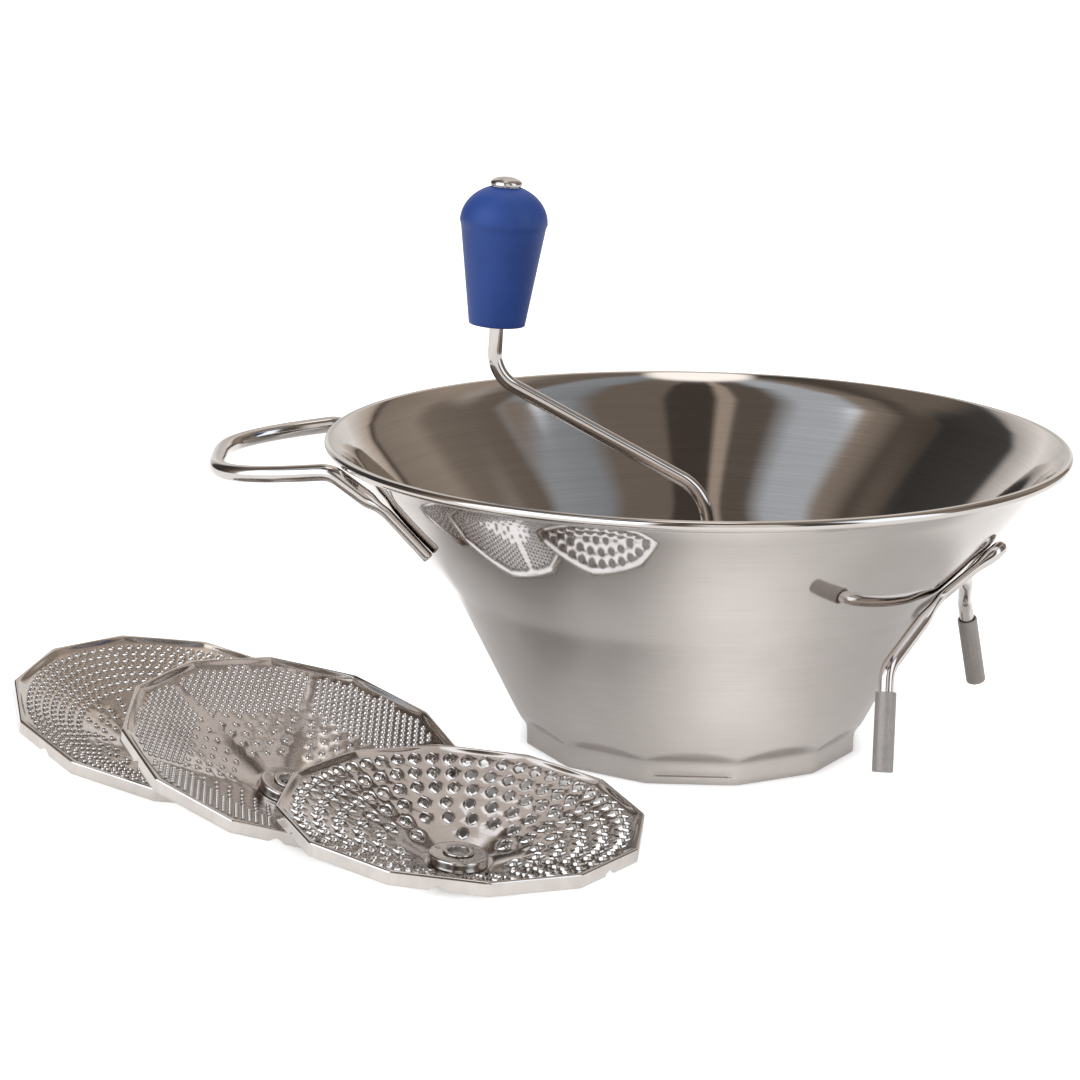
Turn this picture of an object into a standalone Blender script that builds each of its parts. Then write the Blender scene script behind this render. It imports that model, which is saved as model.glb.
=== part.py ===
"""Hand cranked food mill with a conical bowl, wire crank and three loose perforated disks.

Frame: origin at the centre of the base ring on the table, +Z up along the mill's axis,
the handle loop points to -X.
"""
from math import atan2, cos, hypot, pi, radians, sin, sqrt, tan

import bmesh
import bpy
from mathutils import Matrix, Vector

MM = 0.001

# Points closer than this are one point
MERGE = 0.0001 * MM

# Clearances between neighbouring pieces
SEAT_GAP = 0.3 * MM
RUNNING_GAP = 0.3 * MM
OVERRUN = 1.5 * MM

# Bowl
SHEET = 1.0 * MM
RIM_HEIGHT = 127.2 * MM
LIP_FLARE = 1.35 * MM
BEAD_RADIUS = 2.1 * MM
BEAD_START = radians(-110.0)
BEAD_SWEEP = radians(240.0)
LIP_TURN_HEIGHT = 3.6 * MM
UPPER_CONE_ANGLE = radians(41.0)
LOWER_CONE_ANGLE = radians(26.5)
KNEE_HEIGHT = 72.6 * MM
KNEE_BLEND_HEIGHT = 6.0 * MM
FACETS = 12
BASE_CORNER_RADIUS = 71.0 * MM
CONE_FOOT_INSET = 0.58 * MM
BASE_FACET_HEIGHT = 9.0 * MM
FACET_LEAN = radians(47.0)
FACET_CORNER_AZIMUTH = radians(10.9)
COLUMNS_PER_FACET = 5

# Seat ridge pressed into each flat of the base
RIDGE_HEIGHT = 4.3 * MM
RIDGE_HALF_WIDTH = 1.1 * MM
RIDGE_DEPTH = 2.0 * MM
RIDGE_HALF_ANGLE = radians(11.0)

# Handle loop
HANDLE_WIRE_RADIUS = 3.5 * MM
HANDLE_LOOP_LENGTH = 48.4 * MM
HANDLE_ROOT_STANDOFF_SHARE = 0.93
HANDLE_ROOT_DROP = 3.0 * MM
HANDLE_ROOT_HALF_SPAN = 49.3 * MM
HANDLE_NARROWING_SHARE = 0.2085
HANDLE_ROUNDNESS_SHARE = 3.6
HANDLE_DROP_SHARE = 0.1026
HANDLE_BEND_RADIUS = 12.0 * MM
HANDLE_FLAT_START_DROP = 17.2 * MM
HANDLE_END_DROP = 36.7 * MM
FLAT_FADE_HEIGHT = 8.0 * MM
HANDLE_END_HALF_SPAN = 56.8 * MM
FLAT_THICKNESS_SHARE = 0.64
FLAT_WIDTH_SHARE = 1.22
FLAT_LEAD_SHARE = 1.1

# Wire support opposite the handle
SUPPORT_AZIMUTH = radians(-24.6)
SUPPORT_WIRE_RADIUS = 3.05 * MM
SUPPORT_APEX_DROP = 26.6 * MM
SUPPORT_APEX_BEND_RADIUS = 5.2 * MM
SUPPORT_APEX_STANDOFF = 1.0 * MM
SUPPORT_WELD_HALF_SPAN = 19.9 * MM
SUPPORT_WELD_DROP = 47.9 * MM
SUPPORT_KNEE_STANDOFF = 21.2 * MM
SUPPORT_KNEE_HALF_SPAN = 58.4 * MM
SUPPORT_KNEE_DROP = 70.4 * MM
SUPPORT_FOOT_KICK = 3.5 * MM
SUPPORT_FOOT_SPLAY = 12.8 * MM
SUPPORT_FOOT_HEIGHT = 18.5 * MM
SUPPORT_BEND_RADIUS = 11.0 * MM
SLEEVE_COVER_SHARE = 0.775
SLEEVE_WALL = 0.8 * MM
SLEEVE_END_THICKNESS = 1.5 * MM

# Crank, one bent wire from the shaft's foot to the grip pin
CRANK_WIRE_RADIUS = 3.0 * MM
CRANK_AZIMUTH = radians(178.0)
SHAFT_FOOT_HEIGHT = 1.6 * MM
SHAFT_LEAN_RISE = 2.0 * MM
LOWER_ELBOW_REACH = -7.4 * MM
LOWER_ELBOW_HEIGHT = 104.4 * MM
UPPER_ELBOW_REACH = 85.2 * MM
UPPER_ELBOW_HEIGHT = 154.5 * MM
GRIP_LEAN = radians(3.3)
SHAFT_BEND_RADIUS = 60.0 * MM
LOWER_ELBOW_BEND_RADIUS = 22.0 * MM
UPPER_ELBOW_BEND_RADIUS = 16.0 * MM

# Knob
KNOB_START = 21.2 * MM
KNOB_LENGTH = 57.0 * MM
KNOB_FOOT_RADIUS = 11.7 * MM
KNOB_WIDEST_RADIUS = 18.1 * MM
KNOB_WIDEST_SHARE = 0.745
KNOB_CROWN_RADIUS = 6.2 * MM
KNOB_EDGE = 0.6 * MM
KNOB_RIDGE = 0.25 * MM
COLLAR_RADIUS = 5.2 * MM
COLLAR_HEIGHT = 3.0 * MM
SCREW_HEAD_RADIUS = 6.6 * MM
SCREW_HEAD_HEIGHT = 3.6 * MM
SCREW_SHANK_RADIUS = 1.7 * MM
SCREW_DEPTH = 9.0 * MM
KNOB_WASHER_MARGIN = 0.8 * MM
KNOB_WASHER_THICKNESS = 0.8 * MM

# Retaining bar under the seat
BAR_THICKNESS = 1.8 * MM
BAR_HALF_WIDTH = 8.0 * MM
BAR_TONGUE_HALF_WIDTH = 4.0 * MM
BAR_TIP_CLEARANCE = 0.7 * MM
BAR_TONGUE_LENGTH = 9.0 * MM
BAR_CROWN_HALF_LENGTH = 15.0 * MM
BAR_CROWN_HEIGHT = 19.4 * MM

# Bush, spring and washers on the shaft
BUSH_RADIUS = 4.6 * MM
BUSH_FLANGE_RADIUS = 7.2 * MM
BUSH_FLANGE_THICKNESS = 0.8 * MM
WASHER_RADIUS = 8.2 * MM
WASHER_THICKNESS = 0.9 * MM
SPRING_MEAN_RADIUS = 6.3 * MM
SPRING_WIRE_RADIUS = 0.75 * MM
SPRING_TURNS = 3.5
LOCK_PIN_RADIUS = 1.1 * MM
LOCK_PIN_LENGTH = 14.0 * MM
LOCK_PIN_HEIGHT = 4.0 * MM

# Scraper hub and blade
HUB_NOSE_RADIUS = 8.8 * MM
HUB_NOSE_LENGTH = 5.2 * MM
HUB_SHOULDER_RADIUS = 11.5 * MM
HUB_SHOULDER_THICKNESS = 3.0 * MM
HUB_BARREL_RADIUS = 8.0 * MM
HUB_TOP_HEIGHT = 50.0 * MM
HUB_CHAMFER = 1.2 * MM
HUB_PIN_RADIUS = 1.25 * MM
HUB_PIN_DROP = 7.0 * MM
BLADE_THICKNESS = 1.5 * MM
BLADE_TIP_CLEARANCE = 2.6 * MM
BLADE_LIFT = 0.8 * MM
BLADE_RISE = 17.0 * MM
BLADE_SWEEP = radians(205.0)
BLADE_LEAD_AZIMUTH = radians(75.0)
BLADE_TRAIL_SHARE = 0.74

# Perforated disks, described with the rim plane at z = 0 and the dish below it
DISK_FIT_CLEARANCE = 1.0 * MM
DISK_SHEET = 0.8 * MM
DISK_SKIRT_DEPTH = 5.5 * MM
DISK_EDGE_ROUND = 1.0 * MM
DISK_LAND_WIDTH = 3.15 * MM
DISK_LAND_DROP = 1.7 * MM
DISK_SLOPE = radians(20.96)
DISK_FLOOR_RADIUS = 12.6 * MM
DISK_COLUMNS_PER_FACET = 2
NOTCH_WIDTH = 5.0 * MM
NOTCH_DEPTH = 1.7 * MM
NOTCH_TAPER_SHARE = 0.6
CAP_MARGIN = 1.4 * MM
CAP_FOOT_LAP = 0.8 * MM
CAP_HEIGHT = 4.2 * MM
CAP_SHEET = 1.0 * MM
CAP_EDGE_ROUND = 1.4 * MM
EYELET_BARREL_RADIUS = 4.9 * MM
EYELET_WALL = 1.0 * MM
EYELET_FLANGE_LAP = 1.1 * MM
EYELET_FLANGE_THICKNESS = 0.6 * MM

# Where each disk rests. Centre of its rim plane and its lift, in shares of its corner radius,
# then tilt, downhill azimuth and turn
DISK_PLACE_SHARES = {
    "coarse": ((-1.4217, -2.4841), 0.0174, radians(4.89), radians(-31.0), radians(7.68)),
    "fine": ((-2.3449, -1.5348), 0.0551, radians(16.86), radians(-43.7), radians(13.1)),
    "medium": ((-3.0623, -0.7217), 0.0, radians(14.0), radians(-42.8), radians(27.36)),
}
# Share of the cell left open, radially and around, and the rings that carry holes
HOLE_SHARES = {"coarse": 0.72, "fine": 0.42, "medium": 0.55}
HOLE_RINGS = {"coarse": 4, "fine": 4, "medium": 4}

# Worked out from the values above
FACET_ANGLE = 2 * pi / FACETS
BASE_FACET_RADIUS = BASE_CORNER_RADIUS * cos(FACET_ANGLE / 2)
CONE_FOOT_RADIUS = BASE_FACET_RADIUS - CONE_FOOT_INSET
KNEE_RADIUS = CONE_FOOT_RADIUS + KNEE_HEIGHT * tan(LOWER_CONE_ANGLE)
RIM_RADIUS = KNEE_RADIUS + (RIM_HEIGHT - KNEE_HEIGHT) * tan(UPPER_CONE_ANGLE) + LIP_FLARE
HANDLE_ROOT_RADIUS = RIM_RADIUS + BEAD_RADIUS + HANDLE_WIRE_RADIUS * HANDLE_ROOT_STANDOFF_SHARE
HANDLE_ROOT_REACH = sqrt(HANDLE_ROOT_RADIUS ** 2 - HANDLE_ROOT_HALF_SPAN ** 2)
HANDLE_ROOT_HEIGHT = RIM_HEIGHT - HANDLE_ROOT_DROP
HANDLE_FLAT_START_HEIGHT = RIM_HEIGHT - HANDLE_FLAT_START_DROP
HANDLE_END_HEIGHT = RIM_HEIGHT - HANDLE_END_DROP
SUPPORT_APEX_HEIGHT = RIM_HEIGHT - SUPPORT_APEX_DROP
SUPPORT_WELD_HEIGHT = RIM_HEIGHT - SUPPORT_WELD_DROP
SUPPORT_KNEE_HEIGHT = RIM_HEIGHT - SUPPORT_KNEE_DROP
SLEEVE_RADIUS = SUPPORT_WIRE_RADIUS + SEAT_GAP + SLEEVE_WALL
SHAFT_LEAN_START_HEIGHT = HUB_TOP_HEIGHT + SHAFT_LEAN_RISE
HUB_PIN_HEIGHT = HUB_TOP_HEIGHT - HUB_PIN_DROP
KNOB_WASHER_RADIUS = KNOB_CROWN_RADIUS - KNOB_WASHER_MARGIN
BLADE_TIP_RADIUS = BASE_FACET_RADIUS - SHEET - RIDGE_DEPTH - BLADE_TIP_CLEARANCE
DISK_CORNER_RADIUS = BASE_CORNER_RADIUS - SHEET - DISK_FIT_CLEARANCE
DISK_LAND_RADIUS = DISK_CORNER_RADIUS * cos(FACET_ANGLE / 2) - DISK_LAND_WIDTH
DISK_DISH_DEPTH = DISK_LAND_DROP + (DISK_LAND_RADIUS - DISK_FLOOR_RADIUS) * tan(DISK_SLOPE)
CAP_RADIUS = DISK_FLOOR_RADIUS - CAP_MARGIN
DISK_BORE_RADIUS = CAP_RADIUS - CAP_SHEET - CAP_FOOT_LAP


def clear_scene():
    for old in list(bpy.data.objects):
        bpy.data.objects.remove(old, do_unlink=True)


def material(name, colour, roughness, metallic):
    made = bpy.data.materials.new(name)
    made.use_nodes = True
    shader = made.node_tree.nodes["Principled BSDF"]
    shader.inputs["Base Color"].default_value = (*colour, 1.0)
    shader.inputs["Roughness"].default_value = roughness
    shader.inputs["Metallic"].default_value = metallic
    return made


def steel(name, roughness=0.18):
    return material(name, (0.62, 0.60, 0.58), roughness, 1.0)


def solid(name, vertices, faces, look, smooth_angle=radians(32)):
    """One closed mesh object made from vertices and faces, faces turned outward."""
    mesh = bpy.data.meshes.new(name)
    mesh.from_pydata([tuple(v) for v in vertices], [], faces)
    work = bmesh.new()
    work.from_mesh(mesh)
    bmesh.ops.remove_doubles(work, verts=work.verts, dist=MERGE)
    bmesh.ops.recalc_face_normals(work, faces=work.faces)
    work.to_mesh(mesh)
    work.free()
    mesh.shade_smooth()
    mesh.set_sharp_from_angle(angle=smooth_angle)
    mesh.materials.append(look)
    made = bpy.data.objects.new(name, mesh)
    bpy.context.scene.collection.objects.link(made)
    return made


def cutter(name, vertices, faces):
    """A closed body that only cuts others."""
    made = solid(name, vertices, faces, material(name, (0.8, 0.2, 0.2), 0.5, 0.0))
    made.hide_render = True
    made.display_type = "WIRE"
    return made


def cut(target, tool):
    trim = target.modifiers.new("Cut", "BOOLEAN")
    trim.operation = "DIFFERENCE"
    trim.object = tool


def moved(made, matrix):
    """Places an object by its location and rotation."""
    made.matrix_world = matrix
    return made


def turned(name, outline, sides, look, smooth_angle=radians(32)):
    """Spins a closed outline of (radius, height) points around Z."""
    vertices, faces = turned_mesh(outline, sides)
    return solid(name, vertices, faces, look, smooth_angle)


def turned_mesh(outline, sides):
    work = bmesh.new()
    ring = [work.verts.new((radius, 0, height)) for radius, height in outline]
    edges = [work.edges.new((a, b)) for a, b in zip(ring, ring[1:] + ring[:1])]
    bmesh.ops.spin(work, geom=ring + edges, cent=(0, 0, 0), axis=(0, 0, 1), angle=2 * pi,
                   steps=sides, use_merge=True)
    bmesh.ops.remove_doubles(work, verts=work.verts, dist=MERGE)
    flat = [face for face in work.faces if face.calc_area() < MERGE ** 2]
    bmesh.ops.delete(work, geom=flat, context="FACES")
    lines = [edge for edge in work.edges if not edge.link_faces]
    bmesh.ops.delete(work, geom=lines, context="EDGES")
    work.verts.ensure_lookup_table()
    vertices = [v.co.copy() for v in work.verts]
    faces = [[v.index for v in face.verts] for face in work.faces]
    work.free()
    return vertices, faces


def rod_mesh(start, end, radius, sides):
    """A plain round pin between two points."""
    axis = end - start
    spin = Vector((0, 0, 1)).rotation_difference(axis.normalized()).to_matrix()
    rings = []
    for base in (start, end):
        rings.append([base + spin @ Vector((radius * cos(2 * pi * k / sides),
                                            radius * sin(2 * pi * k / sides), 0))
                      for k in range(sides)])
    return joined_rings(rings)


def joined_rings(rings, closed=False):
    """Bridges equal rings of points; open ends get a cap."""
    count = len(rings[0])
    vertices = [point for ring in rings for point in ring]
    faces = []
    spans = len(rings) if closed else len(rings) - 1
    for row in range(spans):
        low, high = row * count, (row + 1) % len(rings) * count
        for k in range(count):
            step = (k + 1) % count
            faces.append((low + k, low + step, high + step, high + k))
    if not closed:
        faces.append(tuple(range(count)))
        faces.append(tuple(range((len(rings) - 1) * count, len(rings) * count)))
    return vertices, faces


def fillet_path(corners, bend_radii, arc_steps=5):
    """Straight runs between corners, joined by arcs of the given bend radii."""
    path = [corners[0]]
    for before, corner, after, radius in zip(corners, corners[1:], corners[2:], bend_radii):
        arrive = (corner - before).normalized()
        leave = (after - corner).normalized()
        turn = arrive.angle(leave)
        start = corner - arrive * (radius * tan(turn / 2))
        side = (leave - arrive * arrive.dot(leave)).normalized()
        centre = start + side * radius
        for k in range(arc_steps + 1):
            angle = turn * k / arc_steps
            path.append(centre - side * radius * cos(angle) + arrive * radius * sin(angle))
    path.append(corners[-1])
    return path


def swept(path, flat_normals, widths, thicknesses, sides):
    """Sweeps an oval along a path; the thin way of the oval faces the given normal."""
    rings = []
    for k, point in enumerate(path):
        flat_normal = flat_normals[k]
        ahead = path[min(k + 1, len(path) - 1)]
        behind = path[max(k - 1, 0)]
        along = (ahead - behind).normalized()
        across = along.cross(flat_normal).normalized()
        out = across.cross(along)
        rings.append([point + across * widths[k] * cos(2 * pi * j / sides)
                      + out * thicknesses[k] * sin(2 * pi * j / sides) for j in range(sides)])
    return joined_rings(rings)


def polar(reach, offset, height, azimuth):
    """A point given by reach and sideways offset in the vertical plane at an azimuth."""
    return Vector((reach * cos(azimuth) - offset * sin(azimuth),
                   reach * sin(azimuth) + offset * cos(azimuth), height))


def cone_radius(height):
    """Outer radius of the bowl's two cones, rounded at the knee."""
    below = KNEE_RADIUS + (height - KNEE_HEIGHT) * tan(LOWER_CONE_ANGLE)
    above = KNEE_RADIUS + (height - KNEE_HEIGHT) * tan(UPPER_CONE_ANGLE)
    spread = hypot(above - below, KNEE_BLEND_HEIGHT * (tan(UPPER_CONE_ANGLE) - tan(LOWER_CONE_ANGLE)))
    return (above + below + spread) / 2


def facet_share(azimuth):
    """Angle from the middle of the nearest flat of the base."""
    turn = (azimuth - FACET_CORNER_AZIMUTH) % FACET_ANGLE
    return turn - FACET_ANGLE / 2


def base_radius(azimuth, height, inset):
    """Radius of the base: upright flats, which lean outward above their height."""
    flat = BASE_FACET_RADIUS + max(0.0, height - BASE_FACET_HEIGHT) * tan(FACET_LEAN)
    return flat / cos(facet_share(azimuth)) - inset


def arch_height(azimuth):
    """Height at which a leaning flat runs out into the lower cone."""
    narrow = cos(facet_share(azimuth))
    gap = cone_radius(0) * narrow - BASE_FACET_RADIUS + BASE_FACET_HEIGHT * tan(FACET_LEAN)
    return gap / (tan(FACET_LEAN) - tan(LOWER_CONE_ANGLE) * narrow)


def ridge_depth(azimuth, level):
    """Depth of the seat ridge: level 1 on its crest, 0 at its edges, none at the corners."""
    off = abs(facet_share(azimuth))
    fade = min(1.0, max(0.0, (RIDGE_HALF_ANGLE - off) / (RIDGE_HALF_ANGLE / 4)))
    return RIDGE_DEPTH * level * fade


def build_bowl():
    """Sheet bowl in one piece: base ring with flats, two cones and a rolled rim."""
    columns = FACETS * COLUMNS_PER_FACET
    azimuths = [FACET_CORNER_AZIMUTH + 2 * pi * k / columns for k in range(columns)]
    base_levels = [(0.0, 0), (RIDGE_HEIGHT - RIDGE_HALF_WIDTH, 0), (RIDGE_HEIGHT, 1),
                   (RIDGE_HEIGHT + RIDGE_HALF_WIDTH, 0), (BASE_FACET_HEIGHT, 0)]
    wall_levels = [2 * BASE_FACET_HEIGHT]
    wall_levels += [KNEE_HEIGHT + KNEE_BLEND_HEIGHT * share for share in (-1.5, 0.0, 1.5)]
    wall_levels.append(RIM_HEIGHT - 2 * LIP_TURN_HEIGHT)
    slant = SHEET / cos(UPPER_CONE_ANGLE)

    def base_ring(height, level, inset):
        return [polar(base_radius(a, height, inset + ridge_depth(a, level)), 0, height, a)
                for a in azimuths]

    def arch_ring(inset):
        return [polar(base_radius(a, arch_height(a), inset), 0, arch_height(a), a)
                for a in azimuths]

    def round_ring(radius, height):
        return [polar(radius, 0, height, a) for a in azimuths]

    lip = RIM_HEIGHT - LIP_TURN_HEIGHT
    lip_radius = cone_radius(lip) + BEAD_RADIUS / 4
    rings = [base_ring(height, level, 0) for height, level in base_levels]
    rings.append(arch_ring(0))
    rings += [round_ring(cone_radius(height), height) for height in wall_levels]
    rings.append(round_ring(lip_radius, lip))
    bead_steps = 5
    for k in range(bead_steps + 1):
        angle = BEAD_START + BEAD_SWEEP * k / bead_steps
        rings.append(round_ring(RIM_RADIUS + BEAD_RADIUS * cos(angle),
                                RIM_HEIGHT + BEAD_RADIUS * sin(angle)))
    rings.append(round_ring(lip_radius - slant, lip))
    rings += [round_ring(cone_radius(height) - slant, height) for height in reversed(wall_levels)]
    rings.append(arch_ring(SHEET))
    rings += [base_ring(height, level, SHEET) for height, level in reversed(base_levels)]
    vertices, faces = joined_rings(rings, closed=True)
    return solid("bowl", vertices, faces, steel("polished steel", 0.08), radians(28))


def wall_normal(point):
    """Outward normal of the upper cone beside a point."""
    azimuth = atan2(point.y, point.x)
    return Vector((cos(azimuth) * cos(UPPER_CONE_ANGLE), sin(azimuth) * cos(UPPER_CONE_ANGLE),
                   -sin(UPPER_CONE_ANGLE)))


def on_wall(half_span, height, standoff, azimuth):
    """A point at a distance from the bowl's outside, at a sideways span from the azimuth."""
    radius = cone_radius(height) + standoff / cos(UPPER_CONE_ANGLE)
    return polar(sqrt(radius ** 2 - half_span ** 2), half_span, height, azimuth)


def build_handle():
    """Bent wire loop whose flattened ends lie on the wall under the rim."""
    flat_half = HANDLE_WIRE_RADIUS * FLAT_THICKNESS_SHARE
    loop = []
    steps = 16
    for k in range(1, steps):
        angle = pi / 2 * (2 * k / steps - 1)
        power = 2 / HANDLE_ROUNDNESS_SHARE
        out = HANDLE_LOOP_LENGTH * cos(angle) ** power
        width = HANDLE_ROOT_HALF_SPAN - HANDLE_NARROWING_SHARE * out
        side = (1 if angle >= 0 else -1) * abs(sin(angle)) ** power
        height = HANDLE_ROOT_HEIGHT - HANDLE_DROP_SHARE * out
        loop.append(polar(HANDLE_ROOT_REACH + out, width * side, height, pi))
    legs = []
    for side in (-1, 1):
        root = polar(HANDLE_ROOT_REACH, side * HANDLE_ROOT_HALF_SPAN, HANDLE_ROOT_HEIGHT, pi)
        bend = on_wall(side * (HANDLE_ROOT_HALF_SPAN + HANDLE_END_HALF_SPAN) / 2,
                       HANDLE_FLAT_START_HEIGHT, flat_half + SEAT_GAP, pi)
        end = on_wall(side * HANDLE_END_HALF_SPAN, HANDLE_END_HEIGHT, flat_half + SEAT_GAP, pi)
        inner = loop[0] if side < 0 else loop[-1]
        legs.append(fillet_path([end, bend, root, inner],
                                [HANDLE_BEND_RADIUS, HANDLE_BEND_RADIUS]))
    path = legs[0][:-1] + loop + legs[1][:-1][::-1]
    widths, thicknesses = [], []
    for point in path:
        flat = min(1.0, max(0.0, (HANDLE_FLAT_START_HEIGHT - point.z) / FLAT_FADE_HEIGHT
                            + FLAT_LEAD_SHARE))
        widths.append(HANDLE_WIRE_RADIUS * (1 + (FLAT_WIDTH_SHARE - 1) * flat))
        thicknesses.append(HANDLE_WIRE_RADIUS * (1 + (FLAT_THICKNESS_SHARE - 1) * flat))
    vertices, faces = swept(path, [wall_normal(p) for p in path], widths, thicknesses, 8)
    return solid("handle_loop", vertices, faces, steel("handle wire", 0.1), radians(45))


def support_corners(side):
    """Corners of one leg of the support, from the apex to the foot."""
    flat_half = SUPPORT_WIRE_RADIUS * FLAT_THICKNESS_SHARE
    weld = on_wall(side * SUPPORT_WELD_HALF_SPAN, SUPPORT_WELD_HEIGHT, flat_half + SEAT_GAP,
                   SUPPORT_AZIMUTH)
    knee_radius = cone_radius(SUPPORT_KNEE_HEIGHT) + SUPPORT_KNEE_STANDOFF
    reach = sqrt(knee_radius ** 2 - SUPPORT_KNEE_HALF_SPAN ** 2)
    knee = polar(reach, side * SUPPORT_KNEE_HALF_SPAN, SUPPORT_KNEE_HEIGHT, SUPPORT_AZIMUTH)
    foot = polar(reach + SUPPORT_FOOT_KICK, side * (SUPPORT_KNEE_HALF_SPAN + SUPPORT_FOOT_SPLAY),
                 SUPPORT_FOOT_HEIGHT, SUPPORT_AZIMUTH)
    return weld, knee, foot


def build_support():
    """Wire bent to a narrow V that is flattened where it meets the wall, with two feet."""
    apex = on_wall(0, SUPPORT_APEX_HEIGHT, SUPPORT_WIRE_RADIUS + SUPPORT_APEX_STANDOFF,
                   SUPPORT_AZIMUTH)
    corners = []
    for side in (-1, 1):
        weld, knee, foot = support_corners(side)
        tip = foot + (knee - foot).normalized() * (SLEEVE_END_THICKNESS + SEAT_GAP)
        corners.append([tip, knee, weld])
    path = fillet_path(corners[0] + [apex] + corners[1][::-1],
                       [SUPPORT_BEND_RADIUS, SUPPORT_BEND_RADIUS, SUPPORT_APEX_BEND_RADIUS,
                        SUPPORT_BEND_RADIUS, SUPPORT_BEND_RADIUS])
    path = resampled(path, 5 * SUPPORT_WIRE_RADIUS)
    widths, thicknesses = [], []
    reach = SUPPORT_APEX_HEIGHT - SUPPORT_WELD_HEIGHT
    for point in path:
        off = abs(point.z - SUPPORT_WELD_HEIGHT - reach / 8) / (reach / 2)
        flat = min(1.0, max(0.0, 2 * (FLAT_LEAD_SHARE - off)))
        widths.append(SUPPORT_WIRE_RADIUS * (1 + (FLAT_WIDTH_SHARE - 1) * flat))
        thicknesses.append(SUPPORT_WIRE_RADIUS * (1 + (FLAT_THICKNESS_SHARE - 1) * flat))
    vertices, faces = swept(path, [wall_normal(p) for p in path], widths, thicknesses, 8)
    return solid("support_stirrup", vertices, faces, steel("support wire", 0.3), radians(45))


def resampled(path, longest):
    """Splits the long straight runs of a path so that its section can change along them."""
    finer = [path[0]]
    for a, b in zip(path, path[1:]):
        pieces = max(1, int((b - a).length / longest))
        finer += [a.lerp(b, k / pieces) for k in range(1, pieces + 1)]
    return finer


def build_sleeve(name, side):
    """Grey tube with a closed end, pushed over a foot of the support."""
    weld, knee, foot = support_corners(side)
    bore = SUPPORT_WIRE_RADIUS + SEAT_GAP
    length = (knee - foot).length * SLEEVE_COVER_SHARE
    outline = [(0, 0), (SLEEVE_RADIUS * 0.9, 0), (SLEEVE_RADIUS, SLEEVE_END_THICKNESS / 3),
               (SLEEVE_RADIUS, length), (bore, length),
               (bore, SLEEVE_END_THICKNESS), (0, SLEEVE_END_THICKNESS)]
    made = turned(name, outline, 14, material("grey tube", (0.36, 0.35, 0.34), 0.5, 0.0))
    spin = Vector((0, 0, 1)).rotation_difference((knee - foot).normalized())
    return moved(made, Matrix.Translation(foot) @ spin.to_matrix().to_4x4())


def grip_frame():
    """Matrix whose origin is the upper elbow and whose Z runs up the grip pin."""
    axis = polar(-sin(GRIP_LEAN), 0, cos(GRIP_LEAN), CRANK_AZIMUTH)
    spin = Vector((0, 0, 1)).rotation_difference(axis)
    elbow = polar(UPPER_ELBOW_REACH, 0, UPPER_ELBOW_HEIGHT, CRANK_AZIMUTH)
    return Matrix.Translation(elbow) @ spin.to_matrix().to_4x4()


def pin_top():
    """Distance from the upper elbow to the end of the grip pin."""
    return KNOB_START + KNOB_LENGTH - KNOB_WASHER_THICKNESS - 2 * SEAT_GAP


def build_crank(holes):
    """Shaft, arm and grip pin bent from one wire."""
    def at(reach, height):
        return polar(reach, 0, height, CRANK_AZIMUTH)
    grip = grip_frame()
    corners = [at(0, SHAFT_FOOT_HEIGHT), at(0, SHAFT_LEAN_START_HEIGHT),
               at(LOWER_ELBOW_REACH, LOWER_ELBOW_HEIGHT),
               at(UPPER_ELBOW_REACH, UPPER_ELBOW_HEIGHT), grip @ Vector((0, 0, pin_top()))]
    path = fillet_path(corners, [SHAFT_BEND_RADIUS, LOWER_ELBOW_BEND_RADIUS,
                                 UPPER_ELBOW_BEND_RADIUS], 6)
    sideways = Vector((-sin(CRANK_AZIMUTH), cos(CRANK_AZIMUTH), 0))
    radii = [CRANK_WIRE_RADIUS] * len(path)
    vertices, faces = swept(path, [sideways] * len(path), radii, radii, 10)
    made = solid("crank", vertices, faces, steel("crank wire", 0.1), radians(45))
    for hole in holes:
        cut(made, hole)
    return made


def build_knob():
    """Turned plastic knob, widest at three quarters of its height, with a domed crown."""
    bore = CRANK_WIRE_RADIUS + RUNNING_GAP
    recess = COLLAR_RADIUS + RUNNING_GAP
    recess_depth = COLLAR_HEIGHT + 2 * SEAT_GAP
    washer_seat = KNOB_WASHER_RADIUS + RUNNING_GAP
    widest = KNOB_LENGTH * KNOB_WIDEST_SHARE
    crown = KNOB_LENGTH - widest
    outline = [(recess, 0), (KNOB_FOOT_RADIUS - KNOB_EDGE, 0), (KNOB_FOOT_RADIUS, KNOB_EDGE),
               (KNOB_WIDEST_RADIUS - KNOB_RIDGE, widest - KNOB_EDGE),
               (KNOB_WIDEST_RADIUS, widest)]
    steps = 4
    end = sqrt(1 - (KNOB_CROWN_RADIUS / KNOB_WIDEST_RADIUS) ** 2)
    for k in range(1, steps + 1):
        share = sin(pi / 2 * k / steps) * end
        outline.append((KNOB_WIDEST_RADIUS * sqrt(1 - share ** 2), widest + crown * share / end))
    outline += [(washer_seat, KNOB_LENGTH),
                (washer_seat, KNOB_LENGTH - KNOB_WASHER_THICKNESS - SEAT_GAP),
                (bore, KNOB_LENGTH - KNOB_WASHER_THICKNESS - SEAT_GAP),
                (bore, recess_depth), (recess, recess_depth)]
    look = material("blue plastic", (0.025, 0.085, 0.33), 0.55, 0.0)
    made = turned("knob", outline, 24, look, radians(24))
    return moved(made, grip_frame() @ Matrix.Translation((0, 0, KNOB_START)))


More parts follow.
